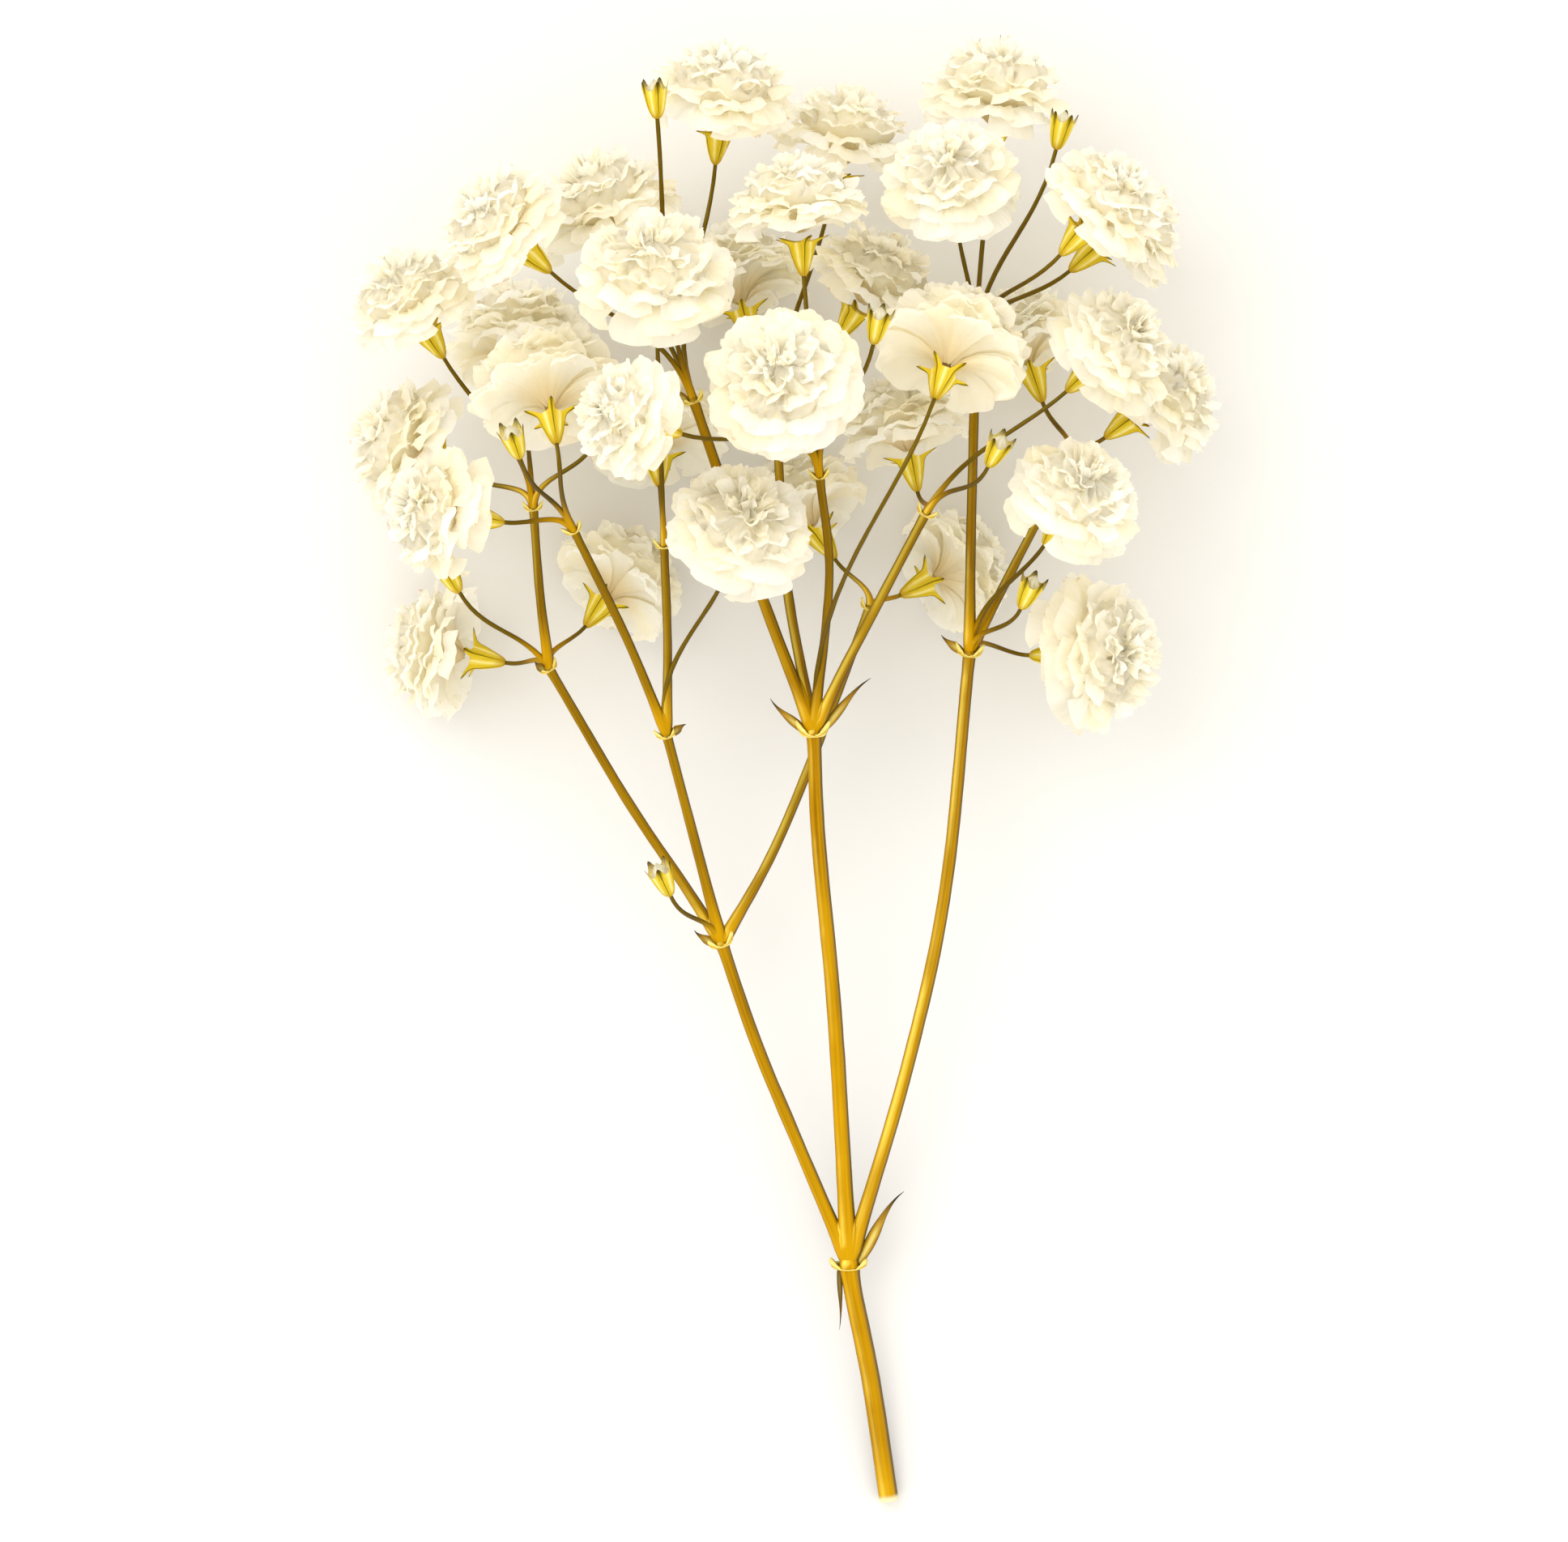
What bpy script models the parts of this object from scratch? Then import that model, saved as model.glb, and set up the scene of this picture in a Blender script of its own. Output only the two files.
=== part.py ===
"""One sprig of dried double gypsophila, laid on its side: +Y runs from the cut end to the flower head.

Lengths below are in millimetres and angles in degrees. The table places are read off the photo by eye,
with the origin at the cut end; at the end the sprig is moved so that it stands centred on the origin.
"""

import math
import random

import bmesh
import bpy
import numpy as np
from mathutils import Vector

MM = 0.001

# Stem, branches and twigs
STEM_SIDES = 8
BRANCH_SIDES = 6
TWIG_SIDES = 5
THICK_TWIG = 0.5
TWIG_STEPS = 2
PEDICEL_SIDES = 5
PEDICEL_RADIUS = 0.32
PEDICEL_SEGMENTS = 3
ARC_REACH = 0.4
# The swelling at a joint: (height, radius) as shares of the twig's radius
JOINT_OUTLINE = ((-2.8, 0.0), (-1.8, 1.35), (-1.2, 1.15), (0.3, 1.45), (1.3, 0.0))

# Bracts: along the length, the share of the half width
BRACT_OUTLINE = ((-0.04, 0.6), (0.4, 1.0), (0.78, 0.62), (1.0, 0.0))
BRACT_CURL = 0.16
BRACT_SEAT = 1.5
BLADE_THICKNESS = 0.62

# Calyx under each bloom, and shut buds
CALYX_LENGTH = 2.3
CALYX_RADIUS = 1.2
TOOTH_RADIUS = 1.85
TOOTH_RISE = 0.3
TOOTH_VALLEY = -0.15
CALYX_DISH = 0.1
CALYX_WAIST_HEIGHT = 0.5
CALYX_WAIST_WIDTH = 0.85
SEAT_GAP = 0.3
BUD_LENGTH = 2.8
BUD_RADIUS = 0.95
# A bud above its pedicel: (height, radius) as shares of its length and radius
BUD_OUTLINE = ((0.25, 0.9), (0.65, 1.0), (1.0, 0.0))
BUD_LEAN = (0.0, 0.5, 0.0)

# Bloom: heights and widths are shares of the bloom's radius
PETALS = 6
FOOT_RADIUS = 0.2
UNDERSIDE = (0.62, 0.22)
FIRST_VALLEY = (0.66, 0.42)
SECOND_VALLEY = (0.48, 0.9)
HEART_HEIGHT = 1.2
# Rings of petals: radius, height and how deep the edge is nicked
OUTER_RING = (1.0, 0.14, 0.15)
MIDDLE_RING = (0.88, 0.64, 0.14)
INNER_RING = (0.56, 1.08, 0.12)
PETAL_GROWTH = (0.9, 1.04)
PETAL_LIFT = 0.11
ROUGHNESS = 0.02
NICK_RISE = 0.3
RIM_LEAN = 0.35
# Across each petal: share of its width, and how far the edge draws back there
EDGE_COLUMNS = ((0.0, 1.0), (0.26, 0.0), (0.5, 0.45), (0.74, 0.0))

# Keeping the blooms apart
BLOOM_MIDDLE = 0.45
BLOOM_REACH = 1.09
CLEARANCE = 0.3
RELAX_ROUNDS = 160
RELAX_STEP = 0.5
HOME_PULL = 0.02
REST_MARGIN = 0.5

STEM_COLOUR = (0.62, 0.42, 0.08, 1.0)
BLOOM_COLOUR = (0.93, 0.88, 0.72, 1.0)
STEM_ROUGHNESS = 0.6
BLOOM_ROUGHNESS = 0.8

# Each twig: name, start joint, points on the way, radius at the start and at the end
TWIGS = (
    ("stem", None, ((0.0, 0.0, 0.78), (-1.2, 8.0, 1.9), (-2.5, 14.6, 3.0), (-2.7, 17.8, 3.7)), 0.78, 0.74),
    ("left", "stem", ((-5.9, 23.5, 4.8), (-8.8, 30.5, 6.0), (-11.0, 36.9, 7.2)), 0.52, 0.48),
    ("middle", "stem", ((-3.6, 32.0, 6.9), (-4.7, 44.0, 9.6), (-5.0, 50.8, 11.0)), 0.64, 0.56),
    ("right", "stem", ((1.2, 29.0, 5.6), (3.7, 40.8, 7.8), (5.2, 56.0, 10.6)), 0.56, 0.48),
    ("far_left", "left", ((-13.6, 41.0, 7.2), (-17.4, 46.7, 7.4), (-22.3, 55.0, 8.4)), 0.42, 0.36),
    ("left_rise", "left", ((-12.6, 43.0, 8.6), (-14.6, 50.6, 10.2)), 0.42, 0.38),
    ("left_cross", "left", ((-8.0, 42.5, 6.6), (-5.4, 48.5, 6.6), (-1.4, 59.0, 7.2)), 0.42, 0.36),
    ("outer", "far_left", ((-23.0, 60.0, 9.6), (-23.4, 65.5, 10.4)), 0.36, 0.34),
    ("rise_left", "left_rise", ((-17.2, 57.0, 12.4), (-20.6, 64.0, 15.2)), 0.36, 0.34),
    ("rise_mid", "left_rise", ((-14.6, 57.0, 11.4), (-14.8, 63.0, 12.6)), 0.36, 0.34),
    ("crown_left", "middle", ((-8.6, 60.4, 12.2), (-12.8, 72.5, 13.0)), 0.48, 0.4),
    ("crown_mid", "middle", ((-6.8, 60.9, 11.4), (-7.4, 70.5, 11.6)), 0.42, 0.36),
    ("crown_right", "middle", ((-2.6, 56.0, 12.6), (2.2, 65.1, 13.8)), 0.44, 0.36),
    ("upright", "middle", ((-4.0, 61.0, 14.8), (-4.6, 67.5, 17.6)), 0.36, 0.34),
    ("right_mid", "right", ((5.3, 64.0, 12.2), (5.6, 76.0, 13.4)), 0.42, 0.36),
    ("right_out", "right", ((8.2, 62.0, 9.6), (11.6, 68.5, 9.0)), 0.38, 0.34),
)

# Each bloom: start joint, middle of the bloom, radius, angle that it faces above the horizontal
BLOOMS = (
    ("far_left", (-28.6, 57.0, 5.0), 4.6, -12),
    ("far_left", (-17.8, 61.0, 5.2), 4.4, -30),
    ("outer", (-31.0, 70.4, 9.4), 4.7, 10),
    ("outer", (-24.8, 76.6, 5.0), 4.9, -20),
    ("rise_left", (-20.6, 71.8, 18.2), 5.0, -35),
    ("rise_left", (-29.0, 65.4, 18.0), 4.4, 25),
    ("rise_mid", (-15.4, 70.8, 6.6), 4.6, -35),
    ("rise_mid", (-14.6, 79.6, 21.4), 5.2, 40),
    ("left_rise", (-9.8, 64.0, 19.6), 4.8, 50),
    ("crown_left", (-18.6, 85.0, 11.6), 5.0, 12),
    ("crown_left", (-10.6, 92.0, 14.6), 4.8, 20),
    ("crown_left", (-24.8, 83.2, 20.0), 4.5, 20),
    ("crown_mid", (-9.4, 80.8, 6.0), 4.7, -15),
    ("crown_mid", (-3.4, 90.0, 8.6), 4.6, 5),
    ("upright", (-5.6, 73.6, 23.6), 5.1, 65),
    ("upright", (-6.2, 84.4, 20.4), 4.5, 5),
    ("middle", (4.2, 75.4, 21.2), 5.0, -38),
    ("crown_right", (1.4, 70.8, 10.4), 4.4, -10),
    ("crown_right", (12.4, 75.6, 18.4), 4.5, 30),
    ("left_cross", (-4.8, 66.6, 5.0), 4.4, -20),
    ("left_cross", (4.2, 61.8, 5.0), 4.3, -25),
    ("right", (13.2, 56.2, 10.0), 5.2, 30),
    ("right_out", (17.6, 73.0, 8.6), 4.6, 15),
    ("right_out", (8.8, 76.8, 5.2), 4.5, -15),
    ("right_mid", (6.6, 92.0, 12.2), 4.9, 12),
    ("right_mid", (15.2, 84.2, 9.6), 4.6, 5),
    ("right_mid", (2.6, 84.8, 19.0), 4.6, 45),
    ("right", (10.6, 65.6, 17.6), 4.5, 40),
    ("crown_mid", (-0.8, 79.6, 12.0), 4.4, 10),
    ("right_mid", (12.0, 85.4, 19.6), 4.4, 20),
    ("outer", (-31.0, 79.2, 14.0), 4.4, 20),
    ("upright", (-14.6, 72.4, 27.0), 4.0, 35),
)

# Each shut bud: start joint, tip of the bud
BUDS = (
    ("left", (-15.4, 42.6, 12.6)),
    ("far_left", (-29.6, 62.6, 11.4)),
    ("outer", (-18.2, 72.6, 12.4)),
    ("rise_left", (-24.8, 71.0, 23.4)),
    ("crown_left", (-15.4, 93.6, 20.0)),
    ("crown_right", (7.4, 70.4, 21.0)),
    ("right", (9.6, 61.4, 15.4)),
    ("right_mid", (11.4, 91.6, 18.4)),
    ("upright", (-0.6, 78.6, 25.0)),
)

# Each bract: the joint that it grows at, the way that it points, length and half width
BRACTS = (
    ("stem", (0.64, 0.74, 0.2), 5.8, 0.8),
    ("stem", (-0.18, -0.96, 0.1), 5.8, 0.42),
    ("middle", (-0.85, 0.55, 0.2), 3.0, 0.55),
    ("middle", (0.75, 0.7, 0.2), 3.4, 0.55),
    ("left", (-0.7, 0.5, 0.4), 1.8, 0.45),
    ("right", (-0.75, 0.6, 0.3), 2.0, 0.45),
    ("far_left", (-0.4, 0.4, 0.8), 1.8, 0.42),
    ("left_rise", (0.6, 0.4, 0.7), 1.8, 0.42),
    ("crown_left", (-0.6, 0.5, 0.6), 2.2, 0.45),
    ("right_mid", (0.7, 0.5, 0.5), 2.0, 0.42),
)


def unit(vector):
    """Return the vector as an array of length one."""
    array = np.array(vector, dtype=float)
    return array / np.linalg.norm(array)


def square_to(axis):
    """Return two directions square to the axis and to each other."""
    away = np.array((0.0, 0.0, 1.0)) if abs(axis[2]) < 0.9 else np.array((0.0, 1.0, 0.0))
    side = unit(np.cross(away, axis))
    return side, np.cross(axis, side)


def round_row(middle, side, up, corners):
    """Return points round a middle from (turn, radius) pairs."""
    return [middle + radius * (math.cos(turn) * side + math.sin(turn) * up) for turn, radius in corners]


def even_row(middle, side, up, radius, count):
    """Return evenly spaced points round a middle."""
    return round_row(middle, side, up, [(2 * math.pi * k / count, radius) for k in range(count)])


def curve_through(points, steps):
    """Return a smooth row of points through the given ones, some steps to each stretch."""
    rows = [np.array(p, dtype=float) for p in points]
    rows = [2 * rows[0] - rows[1]] + rows + [2 * rows[-1] - rows[-2]]
    out = []
    for i in range(1, len(rows) - 2):
        a, b, c, d = rows[i - 1:i + 3]
        for k in range(steps):
            t = k / steps
            out.append(0.5 * (2 * b + (c - a) * t + (2 * a - 5 * b + 4 * c - d) * t ** 2
                              + (3 * b - a - 3 * c + d) * t ** 3))
    out.append(rows[-2])
    return out


def arc_to(start, end, way_out, way_in):
    """Return points on a curve that leaves along one way and arrives along another."""
    reach = np.linalg.norm(end - start) * ARC_REACH
    first = start + way_out * reach
    second = end - way_in * reach
    out = []
    for k in range(PEDICEL_SEGMENTS + 1):
        t = k / PEDICEL_SEGMENTS
        s = 1 - t
        out.append(s ** 3 * start + 3 * s * s * t * first + 3 * s * t * t * second + t ** 3 * end)
    return out


def nearest_on(path, point):
    """Return the point of a path that is nearest to the given one."""
    best = None
    for a, b in zip(path, path[1:]):
        along = b - a
        share = np.clip(np.dot(point - a, along) / np.dot(along, along), 0, 1)
        spot = a + along * share
        if best is None or np.linalg.norm(point - spot) < np.linalg.norm(point - best):
            best = spot
    return best


def stitch(low, low_count, high, high_count):
    """Return the faces between two closed rows: alike in count, one twice the other, or one a point."""
    if low_count > high_count:
        return [tuple(reversed(face)) for face in stitch(high, high_count, low, low_count)]
    faces = []
    for k in range(high_count):
        j = (k + 1) % high_count
        if low_count == 1:
            faces.append((low, high + j, high + k))
        elif low_count == high_count:
            faces.append((low + k, low + j, high + j))
            faces.append((low + k, high + j, high + k))
        elif k % 2 == 0:
            faces.append((low + k // 2, high + j, high + k))
            faces.append((low + k // 2, low + (k // 2 + 1) % low_count, high + j))
        else:
            faces.append((low + (k // 2 + 1) % low_count, high + j, high + k))
    return faces


def mesh_object(name, verts, faces):
    """Make an object from points in millimetres, with its faces turned outwards."""
    mesh = bpy.data.meshes.new(name)
    mesh.from_pydata([tuple(MM * float(c) for c in v) for v in verts], [], faces)
    shape = bmesh.new()
    shape.from_mesh(mesh)
    bmesh.ops.triangulate(shape, faces=shape.faces[:])
    bmesh.ops.recalc_face_normals(shape, faces=shape.faces[:])
    shape.to_mesh(mesh)
    shape.free()
    made = bpy.data.objects.new(name, mesh)
    bpy.context.scene.collection.objects.link(made)
    return made


def closed_skin(name, rows):
    """Make a closed solid from rows of points: each row is stitched to the next and the ends are closed."""
    verts = [point for row in rows for point in row]
    counts = [len(row) for row in rows]
    faces = []
    start = 0
    for low, high in zip(counts, counts[1:]):
        faces += stitch(start, low, start + low, high)
        start += low
    if counts[0] > 1:
        faces.append(tuple(range(counts[0])))
    if counts[-1] > 1:
        faces.append(tuple(range(start, start + counts[-1])))
    return mesh_object(name, verts, faces)


def tube_rows(path, radii, sides):
    """Return the rows of a tube along a path, and a direction square to its end."""
    rows = []
    side, _ = square_to(unit(path[1] - path[0]))
    for i, point in enumerate(path):
        ahead = unit(path[min(i + 1, len(path) - 1)] - path[max(i - 1, 0)])
        side = unit(side - ahead * np.dot(side, ahead))
        up = np.cross(ahead, side)
        rows.append(even_row(point, side, up, radii[i], sides))
    return rows, side


def spun_rows(foot, axis, side, up, outline, sides):
    """Return rows round an axis from (height, radius) pairs. A radius of zero closes the end to a point."""
    return [even_row(foot + axis * height, side, up, radius, sides if radius else 1)
            for height, radius in outline]


def blade(name, rows):
    """Give a pointed blade its thickness. Each row holds its left and right edge; the last is its tip."""
    flat = [point for row in rows for point in row]
    tris = []
    for k in range(len(rows) - 2):
        a = 2 * k
        tris += [(a, a + 1, a + 3), (a, a + 3, a + 2)]
    tip = len(flat) - 1
    tris.append((tip - 2, tip - 1, tip))
    normals = [np.zeros(3) for _ in flat]
    for tri in tris:
        slope = np.cross(flat[tri[1]] - flat[tri[0]], flat[tri[2]] - flat[tri[0]])
        for corner in tri:
            normals[corner] = normals[corner] + slope
    lift = [unit(normal) * BLADE_THICKNESS / 2 for normal in normals]
    count = len(flat)
    verts = [p + n for p, n in zip(flat, lift)] + [p - n for p, n in zip(flat, lift)]
    faces = list(tris) + [tuple(corner + count for corner in reversed(tri)) for tri in tris]
    rim = [2 * k + 1 for k in range(len(rows) - 1)] + [tip] + [2 * k for k in reversed(range(len(rows) - 1))]
    for a, b in zip(rim, rim[1:] + rim[:1]):
        faces.append((a, b, b + count))
        faces.append((a, b + count, a + count))
    return mesh_object(name, verts, faces)


def keep_largest(shape):
    """Keep the closed shell with the most corners: hollows sealed inside and loose scraps go."""
    left = set(shape.verts)
    shells = []
    while left:
        todo = [left.pop()]
        shell = []
        while todo:
            vertex = todo.pop()
            shell.append(vertex)
            for edge in vertex.link_edges:
                other = edge.other_vert(vertex)
                if other in left:
                    left.remove(other)
                    todo.append(other)
        shells.append(shell)
    shells.sort(key=len)
    for shell in shells[:-1]:
        bmesh.ops.delete(shape, geom=shell, context="VERTS")


def fuse(name, pieces):
    """Join the pieces in one solid and remove them."""
    group = bpy.data.collections.new(name + "_pieces")
    bpy.context.scene.collection.children.link(group)
    for piece in pieces[1:]:
        bpy.context.scene.collection.objects.unlink(piece)
        group.objects.link(piece)
    union = pieces[0].modifiers.new("union", "BOOLEAN")
    union.operation = "UNION"
    union.operand_type = "COLLECTION"
    union.collection = group
    union.solver = "MANIFOLD"
    bpy.context.view_layer.update()
    graph = bpy.context.evaluated_depsgraph_get()
    mesh = bpy.data.meshes.new_from_object(pieces[0].evaluated_get(graph))
    mesh.name = name
    for piece in pieces:
        bpy.data.objects.remove(piece)
    bpy.data.collections.remove(group)
    shape = bmesh.new()
    shape.from_mesh(mesh)
    keep_largest(shape)
    bmesh.ops.triangulate(shape, faces=shape.faces[:])
    shape.to_mesh(mesh)
    shape.free()
    made = bpy.data.objects.new(name, mesh)
    bpy.context.scene.collection.objects.link(made)
    return made


def petal_rims(ring, petals, first, chance, thickness):
    """Return the lower and the upper rim of a ring of toothed petals as (turn, radius, height) rows."""
    radius, height, nick = ring
    low = []
    high = []
    for k in range(petals):
        grow = chance.uniform(*PETAL_GROWTH)
        lift = chance.uniform(-PETAL_LIFT, PETAL_LIFT)
        for column, (share, drop) in enumerate(EDGE_COLUMNS):
            turn = first + 2 * math.pi * (k + share) / petals
            reach = radius * (grow if column else 1) - drop * nick + chance.uniform(-ROUGHNESS, ROUGHNESS)
            rise = height + (lift if column else 0.0) + NICK_RISE * drop * nick
            low.append((turn, reach, rise))
            high.append((turn, reach - RIM_LEAN * thickness, rise + thickness))
    return low, high


def plain_ring(spot, count, first, chance):
    """Return one row of a bloom without teeth as (turn, radius, height)."""
    radius, height = spot
    return [(first + 2 * math.pi * k / count, radius + chance.uniform(-ROUGHNESS, ROUGHNESS), height)
            for k in range(count)]


def bloom_rings(radius, seed):
    """Return the rows of a bloom's skin, as shares of its radius: out and back along each ring of petals."""
    chance = random.Random(seed)
    first = chance.uniform(0, math.pi)
    turned = first + math.pi / PETALS
    count = 2 * PETALS
    thickness = BLADE_THICKNESS / radius
    outer_low, outer_high = petal_rims(OUTER_RING, PETALS, first, chance, thickness)
    middle_low, middle_high = petal_rims(MIDDLE_RING, PETALS, turned, chance, thickness)
    inner_low, inner_high = petal_rims(INNER_RING, PETALS // 2, first, chance, thickness)
    return [plain_ring((FOOT_RADIUS, SEAT_GAP / radius), count, first, chance),
            plain_ring(UNDERSIDE, count, first, chance), outer_low, outer_high,
            plain_ring(FIRST_VALLEY, count, turned, chance), middle_low, middle_high,
            plain_ring(SECOND_VALLEY, count, turned, chance), inner_low, inner_high]


def bloom_points(seat, axis, radius, seed):
    """Return the rows of points of a bloom; the last row is the point at its heart."""
    side, up = square_to(axis)
    rows = [[seat + radius * (axis * height + reach * (math.cos(turn) * side + math.sin(turn) * up))
             for turn, reach, height in ring] for ring in bloom_rings(radius, seed)]
    return rows + [[seat + axis * radius * HEART_HEIGHT]]


class Sprig:
    """Places of all twigs, buds and blooms. The blooms are pushed clear of each other and of all twigs."""

    def __init__(self):
        self.paths = {}
        for name, start, points, first, last in TWIGS:
            whole = points if start is None else (tuple(self.paths[start][0][-1]),) + points
            path = curve_through(whole, TWIG_STEPS)
            self.paths[name] = (path, np.linspace(first, last, len(path)))
        self.buds = [self.bud(name, tip) for name, tip in BUDS]
        self.middles = [np.array(place, dtype=float) for _, place, _, _ in BLOOMS]
        self.reach = [radius * BLOOM_REACH for _, _, radius, _ in BLOOMS]
        for _ in range(RELAX_ROUNDS):
            self.push_apart()
        self.set_down()

    def joint(self, name):
        """Return the end of a twig and the way that it points there."""
        path, _ = self.paths[name]
        return path[-1], unit(path[-1] - path[-2])

    def bud(self, name, place):
        """Return the foot of a bud, the way that it points and its pedicel."""
        joint, out = self.joint(name)
        tip = np.array(place)
        axis = unit(unit(tip - joint) + np.array(BUD_LEAN))
        foot = tip - axis * BUD_LENGTH
        return foot, axis, arc_to(joint, foot, out, axis)

    def axis(self, index):
        """Return the way that a bloom faces: away from its joint, raised or lowered by its angle."""
        name, _, _, rise = BLOOMS[index]
        away = self.middles[index] - self.joint(name)[0]
        level = unit((away[0], away[1], 0.0)) * math.cos(math.radians(rise))
        return unit((level[0], level[1], math.sin(math.radians(rise))))

    def seat(self, index):
        """Return the top of the calyx that a bloom sits on."""
        return self.middles[index] - self.axis(index) * BLOOM_MIDDLE * BLOOMS[index][2]

    def pedicel(self, index):
        """Return the path of the pedicel that carries a bloom, up to the foot of its calyx."""
        joint, out = self.joint(BLOOMS[index][0])
        axis = self.axis(index)
        return arc_to(joint, self.seat(index) - axis * CALYX_LENGTH, out, axis)

    def push_apart(self):
        """Move each bloom a little away from all that it is too near to, and a little towards its place."""
        count = len(self.middles)
        rods = [(None, path, float(radii[0])) for path, radii in self.paths.values()]
        rods += [(i, self.pedicel(i), PEDICEL_RADIUS) for i in range(count)]
        rods += [(None, path + [foot + axis * BUD_LENGTH], BUD_RADIUS) for foot, axis, path in self.buds]
        moves = [(np.array(BLOOMS[i][1]) - self.middles[i]) * HOME_PULL for i in range(count)]
        for i in range(count):
            for j in range(i + 1, count):
                gap = self.middles[i] - self.middles[j]
                lack = self.reach[i] + self.reach[j] + CLEARANCE - np.linalg.norm(gap)
                if lack > 0:
                    moves[i] += unit(gap) * lack * RELAX_STEP
                    moves[j] -= unit(gap) * lack * RELAX_STEP
            for owner, path, radius in rods:
                gap = self.middles[i] - nearest_on(path, self.middles[i])
                lack = self.reach[i] + radius + CLEARANCE - np.linalg.norm(gap)
                if owner != i and lack > 0:
                    moves[i] += unit(gap) * lack * RELAX_STEP
        for i in range(count):
            self.middles[i] = self.middles[i] + moves[i]
            self.middles[i][2] = max(self.middles[i][2], self.reach[i])

    def set_down(self):
        """Lower the blooms that are next to the ground until each one touches it."""
        for i, (_, _, radius, _) in enumerate(BLOOMS):
            if self.middles[i][2] < self.reach[i] + REST_MARGIN:
                rows = bloom_points(self.seat(i), self.axis(i), radius, i + 1)
                self.middles[i][2] -= min(point[2] for row in rows for point in row)


def make_pedicel(path, seat, axis):
    """Make a pedicel that widens into the calyx: a bell with five teeth."""
    rows, side = tube_rows(path, [PEDICEL_RADIUS] * len(path), PEDICEL_SIDES)
    side = unit(side - axis * np.dot(side, axis))
    up = np.cross(axis, side)
    waist = seat - axis * CALYX_WAIST_HEIGHT * CALYX_LENGTH
    rows.append(even_row(waist, side, up, CALYX_WAIST_WIDTH * CALYX_RADIUS, PEDICEL_SIDES))
    rim = []
    for k in range(2 * PEDICEL_SIDES):
        radius, height = (TOOTH_RADIUS, TOOTH_RISE) if k % 2 == 0 else (CALYX_RADIUS, TOOTH_VALLEY)
        turn = math.pi * k / PEDICEL_SIDES
        rim += round_row(seat + axis * height, side, up, [(turn, radius)])
    return closed_skin("pedicel", rows + [rim, [seat - axis * CALYX_DISH]])


def make_bud(foot, axis, path):
    """Make one shut bud on its pedicel."""
    rows, side = tube_rows(path, [PEDICEL_RADIUS] * len(path), PEDICEL_SIDES)
    side = unit(side - axis * np.dot(side, axis))
    up = np.cross(axis, side)
    outline = [(height * BUD_LENGTH, width * BUD_RADIUS) for height, width in BUD_OUTLINE]
    return closed_skin("bud", rows + spun_rows(foot, axis, side, up, outline, PEDICEL_SIDES))


def make_bract(joint, out, radius, way, length, half_width):
    """Make one pointed bract whose root is sunk in the swelling of its joint."""
    joint = joint - out * radius * BRACT_SEAT
    axis = unit(way)
    across = unit(np.cross(axis, (0.0, 0.0, 1.0)))
    lift = np.cross(across, axis)
    rows = []
    for share, width in BRACT_OUTLINE:
        middle = joint + axis * length * share + lift * length * BRACT_CURL * share * share
        edge = across * half_width * width
        rows.append([middle - edge, middle + edge] if width else [middle])
    return blade("bract", rows)


def make_joint(point, way, radius):
    """Make the swelling where twigs part, with its low ring."""
    side, up = square_to(way)
    outline = [(height * radius, width * radius) for height, width in JOINT_OUTLINE]
    return closed_skin("joint", spun_rows(point, way, side, up, outline, BRANCH_SIDES))


def make_stem(sprig):
    """Make the stem with all that has grown on it."""
    pieces = []
    for name, (path, radii) in sprig.paths.items():
        sides = BRANCH_SIDES if radii[0] > THICK_TWIG else TWIG_SIDES
        sides = STEM_SIDES if name == "stem" else sides
        pieces.append(closed_skin(name, tube_rows(path, radii, sides)[0]))
        joint, way = sprig.joint(name)
        pieces.append(make_joint(joint, way, float(radii[-1])))
    pieces += [make_pedicel(sprig.pedicel(i), sprig.seat(i), sprig.axis(i)) for i in range(len(BLOOMS))]
    pieces += [make_bud(foot, axis, path) for foot, axis, path in sprig.buds]
    for name, way, length, width in BRACTS:
        joint, out = sprig.joint(name)
        pieces.append(make_bract(joint, out, float(sprig.paths[name][1][-1]), way, length, width))
    return fuse("stem", pieces)


def make_bloom(sprig, index):
    """Make one bloom in its place."""
    rows = bloom_points(sprig.seat(index), sprig.axis(index), BLOOMS[index][2], index + 1)
    return closed_skin(f"bloom_{index + 1:02d}", rows)


def paint(made, colour, roughness):
    """Give an object its own material."""
    material = bpy.data.materials.new(made.name)
    material.use_nodes = True
    surface = material.node_tree.nodes["Principled BSDF"]
    surface.inputs["Base Color"].default_value = colour
    surface.inputs["Roughness"].default_value = roughness
    made.data.materials.clear()
    made.data.materials.append(material)
    made.data.shade_smooth()


def centre(objects):
    """Move all meshes so that the sprig is centred in X and Y and its lowest point is at zero."""
    points = np.array([vertex.co for made in objects for vertex in made.data.vertices])
    low = points.min(axis=0)
    high = points.max(axis=0)
    shift = Vector((-(low[0] + high[0]) / 2, -(low[1] + high[1]) / 2, -low[2]))
    for made in objects:
        for vertex in made.data.vertices:
            vertex.co += shift


def main():
    """Build the stem and its blooms."""
    for old in list(bpy.data.objects):
        bpy.data.objects.remove(old)
    sprig = Sprig()
    made = [make_stem(sprig)]
    paint(made[0], STEM_COLOUR, STEM_ROUGHNESS)
    for index in range(len(BLOOMS)):
        made.append(make_bloom(sprig, index))
        paint(made[-1], BLOOM_COLOUR, BLOOM_ROUGHNESS)
    centre(made)


main()
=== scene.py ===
"""The dressed look of one sprig of dried double gypsophila, laid on a pale floor and seen from above.

The tables of places are in millimetres with the origin at the cut end; finished pieces are in metres.
"""

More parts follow.
